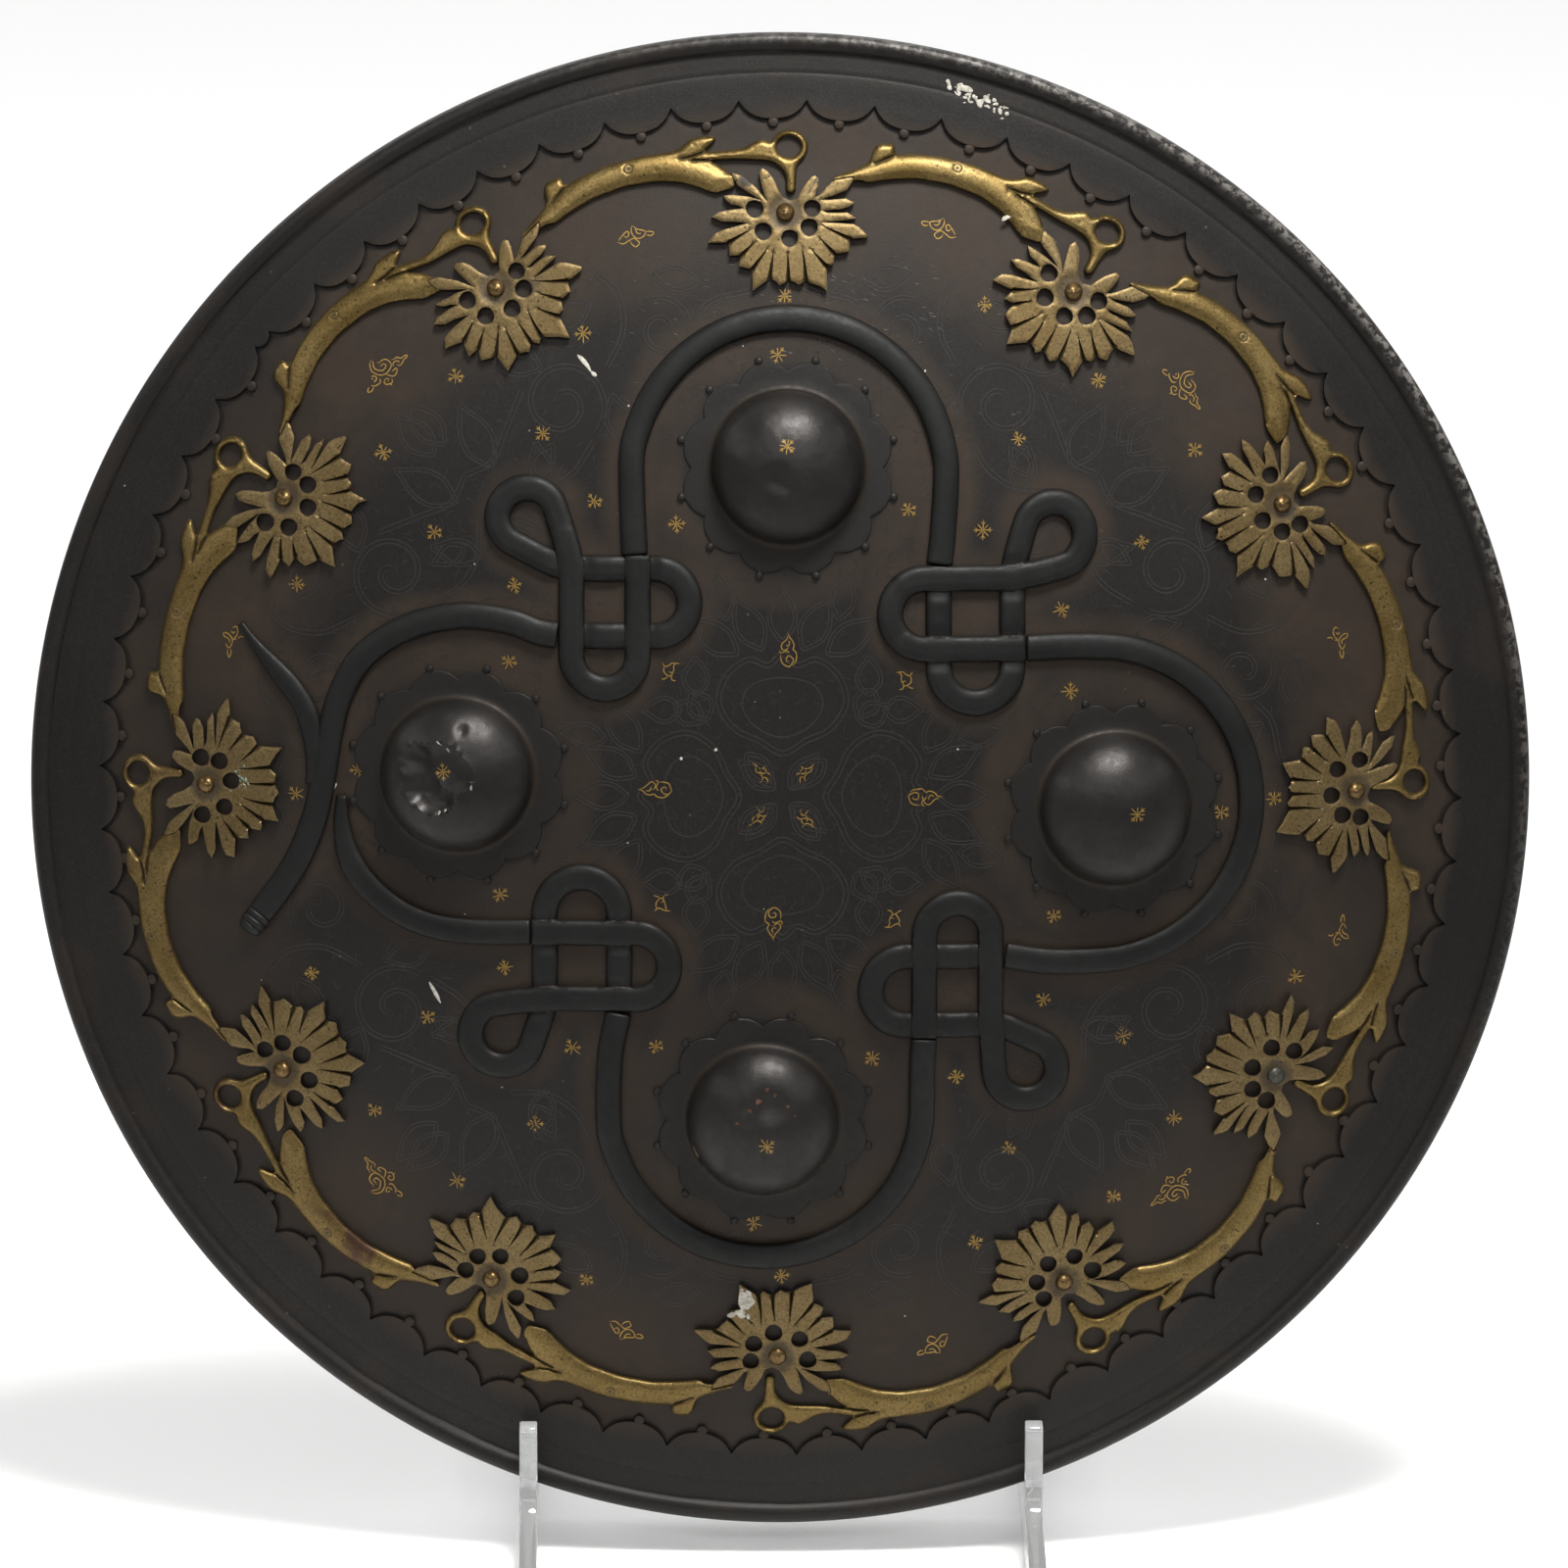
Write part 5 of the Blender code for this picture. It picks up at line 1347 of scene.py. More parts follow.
def build_vine(k):
    def warp(d, r):
        near = 1 - float(smooth01(d, 1.8, 6.5))
        mid = max(0.0, 1 - ((d - 14.6) / 9.4) ** 2) if d > 5 else 0.0
        d2 = d + VINE_TURNS[k] * (1 - near) + (VINE_RINGS[k][0] - RING_AT[0]) * near
        r2 = r + (VINE_BOWS[k] + 1.3) * (0.35 * (1 - near) * (d > 5) + 0.65 * mid) + (VINE_RINGS[k][1] - RING_AT[1]) * near
        return d2, r2

    def at(d, r):
        return va(*warp(d, r))
    plan = list(VINE_PLAN)
    outer = [at(*p) for p in plan]
    for phi in (18, 36, 54, 72, 90, 108, 126, 144, 162, 180, 198, 216, 232):
        dt, dr = 5.3 * cos(radians(phi)), 4.8 * sin(radians(phi))
        outer.append(at(RING_AT[0] + degrees(dt / RING_AT[1]), RING_AT[1] + dr))
    outer += [at(-1.05, 173.0)] + [at(*p) for p in VINE_TAIL]
    outer = np.array(outer)
    # soften the corners once
    a, b = outer, np.roll(outer, -1, 0)
    seg_len = np.hypot(*(b - a).T)
    cut = np.minimum(0.25, 0.9 / np.maximum(seg_len, 1e-6))[:, None]
    soft = np.empty((2 * len(outer), 2))
    soft[0::2] = a + (b - a) * cut
    soft[1::2] = b - (b - a) * cut
    loop = resample(soft, 0.55, True)
    hole = np.array([at(RING_AT[0] + degrees((3.3 * cos(q) + 0.15) / RING_AT[1]),
                        RING_AT[1] + 2.9 * sin(q) + 0.15) for q in np.linspace(0, 2 * pi, 33)[:-1]])
    loops = [loop, hole]
    slits = [np.array([at(7.6, 178.2), at(8.6, 177.5), at(9.7, 177.3)]),
             np.array([at(7.0, 175.8), at(7.9, 176.3), at(8.8, 176.5)]),
             np.array([at(20.3, 177.7), at(20.9, 176.6), at(21.9, 174.8)])]
    slits = [resample(s, 0.5) for s in slits]
    rim = loop_segs(loops)
    sl = loop_segs(slits, False)
    rv = va(*VINE_RIVETS[k])
    dd, rr_ = VINE_RIVETS[k]

    limb_in, limb_out = (resample([at(*q) for q in spline(e, 0.8)], 0.8) for e in (LIMB_IN, LIMB_OUT))
    band = [np.vstack([limb_in, limb_out[::-1]])]
    in_segs, out_segs = loop_segs([limb_in], False), loop_segs([limb_out], False)
    blunt = loop_segs([resample([at(*q) for q in BLUNT], 0.5)], False)
    mids = (rim[:, :2] + rim[:, 2:]) / 2
    sides = rim[dist_to(mids, blunt) > 0.8]

    def height(p):
        ds = dist_to(p, sl)
        e = np.minimum(dist_to(p, sides), ds + 0.5)
        flat = 0.35 + 1.92 * np.sqrt(np.clip(1 - (1 - np.clip(e / 1.7, 0, 1)) ** 2, 0, 1))
        di, do = dist_to(p, in_segs), dist_to(p, out_segs)
        u = 2 * di / np.maximum(di + do, 1e-6) - 1
        limb = 0.35 + 2.40 * np.sqrt(np.clip(1 - np.abs(u) ** 2.2, 0, 1))
        h = np.where(in_loops(p, band), np.maximum(limb, flat), flat)
        eb = dist_to(p, blunt)
        h = np.minimum(h, 1.95 + 0.24 * eb) - 0.30 * np.clip(1 - eb / 0.35, 0, 1)
        h = h - 0.45 * np.clip(1 - ds / 0.55, 0, 1)
        x, y = p[:, 0] + 41 * k, p[:, 1]
        pit = np.clip((noise2(x, y, 1.2, 41) - 0.82) / 0.18, 0, 1)
        h = h + 0.14 * (fbm(x, y, 7.0, 40, 2) - 0.5) - 0.20 * pit
        q = np.hypot(p[:, 0] - rv[0], p[:, 1] - rv[1])
        return h - 0.22 * np.exp(-((q - 1.22) / 0.22) ** 2) - 0.30 * np.exp(-(q / 0.55) ** 2)

    # dark brown along the outline, in the slits and in the rivet's ring and hole: painted shade over patina
    def att(p):
        e = dist_to(p, rim)
        ds = dist_to(p, sl)
        a = np.maximum(0.60 * np.clip(1 - e / 0.40, 0, 1), 1.0 * np.clip(1 - ds / 0.45, 0, 1))
        q = np.hypot(p[:, 0] - rv[0], p[:, 1] - rv[1])
        return np.maximum(a, np.maximum(0.75 * np.exp(-((q - 1.22) / 0.26) ** 2), 1.1 * np.exp(-(q / 0.60) ** 2)))
    ring = [np.array([rv[0] + q * cos(t), rv[1] + q * sin(t)]) for q in (0.9, 1.22, 1.55)
            for t in np.linspace(0, 2 * pi, 15)[:-1]]
    shoulder = []
    for inset in (0.16, 0.42, 0.80):
        row = np.vstack([sided(lp, 2 * inset, True)[side] for lp in loops for side in (0, 1)])
        row = row[in_loops(row, loops)]
        row = row[(dist_to(row, rim) > inset * 0.93) & (dist_to(row, sl) > 0.25)]
        shoulder.append(row)
    shoulder = np.vstack(shoulder)

    def place(p, h):
        return turned(lifted(p, h), -WREATH_TURN - 30.0 * k)
    # the vine keeps clear of the flowers at its two ends
    near = [turned(np.c_[q, np.zeros(len(q))], WREATH_TURN + 30.0 * k)[:, :2]
            for q in (grown(FLOWER_LOOPS[j][0], 0.15) for j in (k, (k - 1) % 12))]
    return relief("vine_%02d_cast" % (k + 1), loops, height, -SUNK, VINE_STAINED if k in (8, 9) else VINE,
                  creases=slits, step=0.55, nodes=("vine_%02d" % (k + 1),), sharp=38.0,
                  place=place, attr=att, extra=[np.array(ring), shoulder], clear=1.0, cut=near)


# ---- inlay, engraving and residue --------------------------------------------------------
class Strokes:
    """Many thin raised lines, each a closed bar, gathered in one mesh."""

    def __init__(self, place=None):
        self.co, self.faces, self.n = [], [], 0
        self.place = place or (lambda xy, h: lifted(xy, h + uneven(xy)))

    def add(self, path, width, height, taper=0.0, closed=False, low=-0.08, flat=0.6):
        p = np.asarray(path, float)
        n = len(p)
        if n < 2:
            return
        t = (np.roll(p, -1, 0) - np.roll(p, 1, 0)) if closed else np.gradient(p, axis=0)
        t /= np.maximum(np.linalg.norm(t, axis=1), 1e-9)[:, None]
        nrm = np.stack([-t[:, 1], t[:, 0]], 1)
        w = np.full(n, width / 2.0)
        if taper and not closed:
            s = np.linspace(0, 1, n)
            w = w * np.clip(np.minimum(s, 1 - s) / taper, 0.35, 1.0)
        w = w[:, None]
        rows = [self.place(p + nrm * w, np.full(n, low)), self.place(p + nrm * w * flat, np.full(n, height)),
                self.place(p - nrm * w * flat, np.full(n, height)), self.place(p - nrm * w, np.full(n, low))]
        self.co.append(np.stack(rows, 1).reshape(-1, 3))
        base = self.n
        for i in range(n if closed else n - 1):
            a, b = base + 4 * i, base + 4 * ((i + 1) % n)
            for j in range(4):
                k = (j + 1) % 4
                self.faces.append((a + j, b + j, b + k, a + k))
        if not closed:
            self.faces.append((base, base + 1, base + 2, base + 3))
            e = base + 4 * (n - 1)
            self.faces.append((e + 3, e + 2, e + 1, e))
        self.n += 4 * n

    def make(self, name, mat, nodes, slot, sharp=45.0):
        return make(name, np.concatenate(self.co), self.faces, mat, nodes, sharp)


def on_boss(name):
    cx, cy, up = boss_frame(name)

    def place(xy, h):
        base = lifted(xy, -0.02)
        hh = boss_height(name, xy[:, 0], xy[:, 1]) + h
        return base + hh[:, None] * up
    return place


STARS = [(25.1, -73.9), (-35.2, -70.5), (-29.3, 75.2), (75.5, -34.3), (-78.4, -28.0), (-75.8, 37.0),
         (80.0, 28.6), (35.0, 79.1), (-77.1, -48.5), (-58.4, -71.1), (48.6, -79.5), (72.8, -57.8),
         (55.7, 73.3), (77.5, 51.2), (-74.2, 58.1), (-52.1, 81.3), (-68.8, -93.2), (95.2, -68.7),
         (63.3, -100.4), (-98.8, -63.2), (65.6, 98.2), (-7.9, -121.4), (-66.3, 99.9), (122.4, -6.2),
         (100.0, 69.4), (-1.0, 121.6), (-0.1, -136.9), (-135.3, -1.0), (54.2, -127.7), (0.9, 137.7),
         (-55.1, 127.3), (-131.1, -51.5), (-90.8, -110.1), (109.8, -92.8), (-113.8, -90.3),
         (92.9, -115.1), (88.1, 114.0), (-54.7, -138.4), (-110.7, 94.0), (-134.8, 57.3), (56.5, 135.0),
         (-90.5, 115.2), (115.0, 94.5), (143.8, -53.5), (-96.5, 72.4), (-117.9, 6.3), (137.3, -2.8)]
BOSS_STARS = {"boss_top": (1.2, 94.9), "boss_right": (95.3, -4.4), "boss_left": (-91.8, 7.1),
              "boss_bottom": (-4.3, -94.2)}
DROPS = [(1.5, 40.5), (39.3, -0.5), (-2.3, -35.4), (-35.1, 2.1)]
SPRIGS = [(33.9, 31.9), (-31.0, 34.5), (-33.3, -29.7), (30.7, -34.2)]
CENTRE_SPRIGS = [(-5.5, 6.3), (6.1, 6.3), (-6.4, -5.2), (6.4, -6.0)]

DROP_LINES = [
    [(0.1, 5.3), (0.5, 4.0), (1.5, 2.9), (2.0, 1.6), (1.6, 0.5), (2.5, -0.4), (2.6, -1.8), (2.2, -3.2), (1.5, -4.2)],
    [(0.0, 4.4), (-0.5, 3.2), (-1.4, 2.2), (-2.0, 1.1), (-1.5, 0.2), (-0.5, 0.2), (0.3, 0.9)],
    [(0.3, 2.9), (0.6, 2.1), (0.1, 1.5), (-0.6, 1.6)],
    [(-2.4, 0.2), (-2.2, -0.6), (-1.3, -0.5), (-0.4, -0.2), (0.6, -0.6)],
    [(-1.9, -1.0), (-2.0, -2.4), (-1.4, -3.7), (-0.4, -4.5), (0.7, -4.5), (1.4, -3.7), (1.5, -2.6),
     (0.9, -1.7), (-0.1, -1.7), (-0.6, -2.5), (-0.1, -3.2), (0.5, -2.9)],
]
SPRIG_LINES = [
    [(-2.4, 2.6), (-1.5, 1.7), (-0.4, 1.9), (0.6, 2.5), (2.6, 2.6)],
    [(-1.6, 1.8), (-1.9, 0.6), (-1.4, -0.6), (-0.4, -1.3), (0.4, -0.9), (0.3, -0.1), (-0.4, 0.1)],
    [(1.5, 2.5), (0.8, 1.6), (0.9, 0.6), (0.4, -0.9)],
    [(-2.6, -2.2), (-1.6, -1.9), (-0.7, -1.3)],
    [(0.3, -1.2), (0.5, -2.2), (1.6, -2.5)],
]
CENTRE_LINES = [
    [(-3.0, 3.2), (-1.8, 2.2), (-0.6, 1.5), (0.5, 1.9), (0.9, 2.7)],
    [(-2.0, 2.2), (-1.9, 0.9), (-0.9, 0.2), (0.0, -0.8), (-0.1, -1.9), (-0.8, -2.4)],
    [(0.4, 1.8), (1.2, 0.9), (0.7, 0.1), (-0.3, 0.3), (-0.6, 1.1)],
    [(0.9, 0.3), (1.8, 0.2), (2.5, -0.5)],
    [(0.1, -0.9), (1.0, -1.0), (1.5, -1.8), (1.2, -2.6)],
]
BIRD_LINES = [
    [(-5.2, -1.7), (-3.5, -2.1), (-1.9, -1.2), (-0.6, -0.6), (0.4, -1.2), (1, -1.9), (0, -2.9),
     (-1.2, -2.1), (-1.5, -1.3)],
    [(-4.8, -1.35), (-4.2, -0.4), (-2.7, 1.2), (-1.9, 0.8), (-2.5, -0.4), (-3.5, 0.2)],
    [(-1, 2.9), (-1.35, 1.7), (-0.8, 0.2), (0.4, -0.6), (1.9, -0.2), (2.7, 1.2), (1.5, 1.7), (0.4, 1.9),
     (-1, 2.9)],
    [(-0.2, 2.1), (0.4, 0.8), (1.5, 0.8)],
    [(2.7, 1.2), (3.9, 1.35), (5, 1), (4.2, 0.2), (2.9, 0.4)],
]
CORNER_LINES = [
    [(-4.3, 3.56), (-4.54, 2.21), (-4.18, 0.74), (-3.19, -0.12), (-1.72, -0.55), (-0.25, -0.25),
     (0.74, 0.74), (1.41, 1.96), (1.23, 2.82), (0.49, 3.56), (-0.49, 3.81), (-1.47, 3.32), (-2.09, 2.64),
     (-2.46, 3.07)],
    [(-4.18, 3.56), (-3.68, 2.95), (-3.56, 1.96), (-3.07, 1.11), (-1.96, 0.74), (-0.98, 0.74),
     (-0.25, 1.47), (-0.06, 2.21), (-0.74, 2.58), (-1.47, 1.96), (-1.96, 1.84)],
    [(1.35, 3.68), (2.21, 3.93), (2.95, 4.42), (4.05, 4.18), (5.03, 4.79), (5.89, 5.1), (5.53, 4.3),
     (4.91, 3.81), (4.54, 2.95), (3.81, 2.21), (2.95, 2.39)],
    [(2.03, 1.96), (1.84, 2.58), (2.33, 3.19), (3.07, 3.44), (3.81, 3.07)],
    [(1.6, 0.55), (2.21, 0.98), (2.7, 1.47), (3.07, 0.98), (2.82, 0), (2.21, -0.74), (1.23, -0.68),
     (0.12, -0.37)],
    [(1.6, -1.23), (1.72, -2.46), (0.98, -2.89), (0.12, -3.07), (-0.49, -2.7), (-0.43, -1.96),
     (0.12, -1.41), (0.8, -1.84), (0.37, -2.27)],
    [(0.98, -2.89), (1.72, -3.38)],
    [(-4.18, -1.54), (-3.44, -1.72)],
    [(-4.18, -0.98), (-3.32, -0.86), (-2.7, -1.23), (-2.82, -1.96), (-3.44, -2.58)],
    [(-1.72, -1.47), (-1.6, -2.46), (-2.21, -3.07), (-3.19, -3.56), (-4.18, -3.44)],
    [(-4.79, -3.93), (-5.16, -5.03), (-4.67, -5.34), (-3.81, -4.67), (-3.44, -3.68)],
]
SIDE_LINES = [
    [(-3.32, 0.49), (-2.33, 0.74), (-1.72, 0.18)],
    [(0, 2.95), (-0.74, 3.44), (-1.35, 3.19), (-1.6, 1.96), (-1.17, 0.86), (-0.37, -0.12), (-1.35, 0)],
    [(-0.86, 2.09), (-0.25, 1.54), (0.31, 2.21)],
    [(2.58, 1.72), (1.6, 1.6), (0.61, 0.86), (-0.06, -0.25), (0.18, -1.47), (0.8, -2.52), (1.41, -2.21),
     (1.9, -1.11)],
    [(2.58, 1.72), (2.21, 0.61), (1.23, 0.12), (0.74, -0.61), (0.98, -1.11)],
    [(0.37, -2.82), (0.37, -3.93), (0.92, -5.22), (1.35, -3.93), (1.23, -2.89)],
]
# kind, place, turn in degrees, mirrored
LARGE = [(CORNER_LINES, (-109.9, 115.8), 0, False), (CORNER_LINES, (111.5, 111.5), -90, False),
         (CORNER_LINES, (109.5, -113.0), 180, False), (CORNER_LINES, (-111.5, -109.9), 90, False),
         (BIRD_LINES, (-40.4, 153.9), 0, False), (BIRD_LINES, (43.8, 156.0), -8, True),
         (BIRD_LINES, (-43.5, -153.4), 168, True), (BIRD_LINES, (42.6, -157.9), 200, False),
         (SIDE_LINES, (155.6, 41.0), 0, False), (SIDE_LINES, (-153.0, 41.7), 0, True),
         (SIDE_LINES, (156.2, -41.4), 180, True)]


def star_lines(r, rnd):
    out = []
    turn = rnd.uniform(0, 45)
    rays = 7 if rnd.random() < 0.35 else 8
    for i in range(rays):
        a = radians(turn + 360.0 * i / rays + rnd.normal(0, 4))
        q = r * (1.0 if i % 2 == 0 else 0.82) * rnd.uniform(0.9, 1.08)
        d = np.array([cos(a), sin(a)])
        s = np.array([-d[1], d[0]])
        out.append([d * 0.12, d * q])
        if i % 2 == 0 and rnd.random() < 0.85:
            for sg in (1, -1):
                out.append([d * q * 0.52, d * q * 0.82 + s * sg * q * 0.24])
    return out


def motif(strokes, lines, centre, turn, width, height, scale=1.0, flip=False, rnd=None):
    c, s = cos(radians(turn)), sin(radians(turn))
    for line in lines:
        p = np.asarray(line, float) * scale
        if flip:
            p = p * [-1, 1]
        if rnd is not None:
            p = p + rnd.normal(0, 0.09, p.shape)
        q = np.stack([p[:, 0] * c - p[:, 1] * s + centre[0], p[:, 0] * s + p[:, 1] * c + centre[1]], 1)
        q = spline(q, 0.32) if len(q) > 2 else resample(q, 0.6)
        strokes.add(q, width, height, taper=0.10)


def build_gold():
    rnd = np.random.default_rng(7)
    g = Strokes()
    for c in STARS:
        for line in star_lines(rnd.uniform(2.3, 2.75), rnd):
            g.add(resample(np.asarray(line) + c, 0.5), rnd.uniform(0.32, 0.40), 0.07, taper=0.12)
    for i, c in enumerate(DROPS):
        motif(g, DROP_LINES, c, (0, -90, 180, 90)[i], 0.40, 0.08, 0.95, i in (1, 3), rnd)
    for i, c in enumerate(SPRIGS):
        motif(g, SPRIG_LINES, c, (0, 0, 180, 180)[i], 0.38, 0.07, 0.95, i in (0, 2), rnd)
    for i, c in enumerate(CENTRE_SPRIGS):
        motif(g, CENTRE_LINES, c, (0, 0, 180, 180)[i], 0.38, 0.07, 0.95, i in (1, 2), rnd)
    for lines, c, turn, flip in LARGE:
        motif(g, lines, c, turn, 0.40, 0.07, 1.0, flip)
    g.make("gold_on_plate", GOLD, ("shield_plate",), None)
    for name, c in BOSS_STARS.items():
        b = Strokes(on_boss(name))
        for line in star_lines(2.6, rnd):
            b.add(resample(np.asarray(line) + c, 0.5), 0.38, 0.07, taper=0.12, low=-0.15)
        b.make("gold_on_" + name, GOLD, (name,), None)


def patches(name, mat, spots, nodes, place=None, seed=5):
    """Thin irregular flakes and grains of residue."""
    rnd = np.random.default_rng(seed)
    place = place or (lambda xy, h: lifted(xy, h + uneven(xy)))
    m = Mesh()
    for x, y, r, stretch, turn, h in spots:
        n = 14
        t = 2 * np.pi * np.arange(n) / n
        q = 1 + 0.28 * rnd.standard_normal(n)
        q = np.clip((q + np.roll(q, 1) + np.roll(q, -1)) / 3, 0.5, 1.5)
        c, s = cos(radians(turn)), sin(radians(turn))
        px, py = r * q * np.cos(t) * stretch, r * q * np.sin(t) / stretch
        ring = np.stack([x + px * c - py * s, y + px * s + py * c], 1)
        mid = np.array([[x, y]])
        rows = [m.add(place(mid + (ring - mid) * f, np.full(n, z)))
                for f, z in ((1.0, -0.05), (1.0, 0.35 * h), (0.72, 0.85 * h), (0.35, h))]
        for a, b in zip(rows, rows[1:]):
            m.strip(a, b)
        m.fan(rows[-1], m.add(place(mid, np.array([h * 0.9])))[0])
        m.fan(rows[0][::-1], m.add(place(mid, np.array([-0.05])))[0])
    co, faces = m.data()
    return make(name, co, faces, mat, nodes, 60.0)


def build_residue():
    rnd = np.random.default_rng(21)
    spots = []
    for i in range(46):         # flaking patch on the brim
        u = rnd.random()
        x, y = 46.5 + 16.5 * u, 195.0 - 7.2 * u + rnd.normal(0, 1.15)
        spots.append((x, y, rnd.uniform(0.22, 0.75), rnd.uniform(1.0, 1.6), rnd.uniform(0, 180), 0.14 + BORDER_STEP))
    spots += [(51.4, 194.4, 1.25, 1.5, -25, 0.16 + BORDER_STEP), (55.5, 190.3, 1.05, 1.3, 40, 0.16 + BORDER_STEP)]
    brim = [(x, y, r, s, t, h) for x, y, r, s, t, h in spots]
    patches("residue_on_brim", WHITE, [(x, y, r, s, t, 0.16) for x, y, r, s, t, h in brim], ("shield_plate",),
            lambda xy, h: lifted(xy, h + BORDER_STEP + uneven(xy)))
    flecks = [(-54.5, 119.1, 1.35, 2.3, -52, .2), (-52.0, 116.2, 0.8, 1.3, -40, .2), (-96.8, -55.7, 1.5, 2.6, -60, .2),
              (68.4, 158.8, 0.6, 1.2, 0, .16), (-10.3, -129.0, 0.7, 1.4, 30, .16), (0.6, -129.5, 0.6, 1.2, 80, .16),
              (8.9, -127.6, 0.8, 1.5, 10, .16), (-124.2, 1.6, 0.5, 1.6, 70, .16), (-6.0, -131.5, 0.4, 1, 0, .14),
              (-28.0, 10.6, 0.4, 1, 0, .14), (-18.4, 13.0, 0.45, 1, 0, .14)]
    for i in range(34):         # stray dust grains
        r, a = rnd.uniform(20, 205), rnd.uniform(0, 360)
        x, y = pol(r, a)
        if abs(r - 189) > 5:
            flecks.append((x, y, rnd.uniform(0.14, 0.3), 1.0, 0, 0.1 + (BORDER_STEP if r > 190 else 0)))
    patches("residue_on_face", WHITE, flecks, ("shield_plate",))

    def on_flower(k, centre, spread, count, sizes, h):
        out = []
        edge = loop_segs(FLOWER_LOOPS[k])
        for _ in range(4000):
            if len(out) >= count:
                break
            c = np.array(centre) + rnd.normal(0, 1, 2) * spread
            r = rnd.uniform(*sizes)
            if in_loops(c[None], FLOWER_LOOPS[k])[0] and dist_to(c[None], edge)[0] > 0.75 * r:
                out.append((c[0], c[1], r, rnd.uniform(1.0, 1.3), rnd.uniform(0, 180), h))
        return out
    white = on_flower(6, (-13.2, -143.6), (2.3, 2.0), 60, (0.35, 1.0), 0.16)
    white += on_flower(6, (-19.5, -147.5), (1.2, 1.0), 12, (0.2, 0.5), 0.12)
    patches("residue_on_flower_07", WHITE, white, ("flower_07",), lambda xy, h: lifted(xy, h + 2.40))
    green = on_flower(9, (-151.2, 2.7), (1.2, 1.4), 16, (0.2, 0.5), 0.12)
    patches("verdigris_on_flower_10", GREEN, green, ("flower_10",), lambda xy, h: lifted(xy, h + 2.36))
    chips = [(*turned(np.array([[*va(8.9, 170.7), 0.0]]), -WREATH_TURN - 30.0)[0, :2], 0.9, 1.5, 20, 0.25)]
    patches("residue_on_vine_02", WHITE, chips, ("vine_02",), lambda xy, h: lifted(xy, h + 2.2))
    rust = [(x, y, r, 1.2, t, 0.10) for x, y, r, t in
            ((-6.5, -82.0, 0.8, 10), (-2.0, -80.5, 0.6, 60), (1.5, -83.5, 0.5, 0), (-9.0, -84.5, 0.7, 120),
             (-4.2, -79.0, 0.5, 30), (3.6, -86.0, 0.4, 0), (-12.5, -88.0, 0.5, 0))]
    patches("rust_on_boss_bottom", RUST, rust, ("boss_bottom",), on_boss("boss_bottom"))
    crescent = []
    for i in range(44):
        a = radians(rnd.uniform(198, 342))
        r = rnd.uniform(20.2, 21.4)
        crescent.append((-5.4 + r * cos(a), -91.2 + r * sin(a), rnd.uniform(0.2, 0.6), 1.6, degrees(a) + 90, 0.10))

    def foot(xy, h):
        cx, cy, up = boss_frame("boss_bottom")
        r = np.hypot(xy[:, 0] - cx, xy[:, 1] - cy)
        return lifted(xy, -0.02) + (np.interp(r, (19.4, 20.0, 20.5, 20.9, 21.3, 21.9, 22.8),
                                              (6.8, 5.8, 4.7, 2.3, 1.35, 0.85, 0.64)) + h)[:, None] * up
    patches("deposit_on_boss_bottom", OCHRE, crescent, ("boss_bottom",), foot)
    # light flecks on the left boss's crushed crown: painted glints, placed where the lamp's reflections sit
    bits = [(-83.4, 3.2, 0.45, 1.8, 80, 0.12), (-92.4, 15.2, 0.5, 2.2, -40, 0.12), (-90.2, 13.4, 0.5, 1.6, -50, 0.12),
            (-92.6, -4.0, 0.5, 1.5, 70, 0.12), (-90.9, -3.4, 0.4, 1.2, 20, 0.12)]
    patches("glints_on_boss_left", PAINTED_GLINT, bits, ("boss_left",), on_boss("boss_left"))


def leaf(centre, length, width, turn, tip=0.62):
    """Ogee leaf outline, point first."""
    pts = []
    for s, w in ((0.0, 0.0), (0.10, 0.42), (0.28, 0.92), (0.50, 1.0), (0.72, 0.66), (0.86, 0.28), (1.0, 0.0)):
        pts.append((length * (0.5 - s) * -1, width / 2 * w))
    back = [(x, -y) for x, y in pts[-2:0:-1]]
    p = spline(pts + back, 0.9, True)
    c, s = cos(radians(turn)), sin(radians(turn))
    return np.stack([p[:, 0] * c - p[:, 1] * s + centre[0], p[:, 0] * s + p[:, 1] * c + centre[1]], 1)


def scroll(centre, r0, r1, a0, turns, sign=1):
    n = int(abs(turns) * 26)
    t = np.linspace(0, 1, n)
    a = radians(a0) + sign * 2 * pi * turns * t
    r = r0 + (r1 - r0) * t ** 0.85
    return resample(np.stack([centre[0] + r * np.cos(a), centre[1] + r * np.sin(a)], 1), 0.9)


def quarter(p, k):
    c, s = cos(k * pi / 2), sin(k * pi / 2)
    p = np.asarray(p)
    return np.stack([p[:, 0] * c - p[:, 1] * s, p[:, 0] * s + p[:, 1] * c], 1)


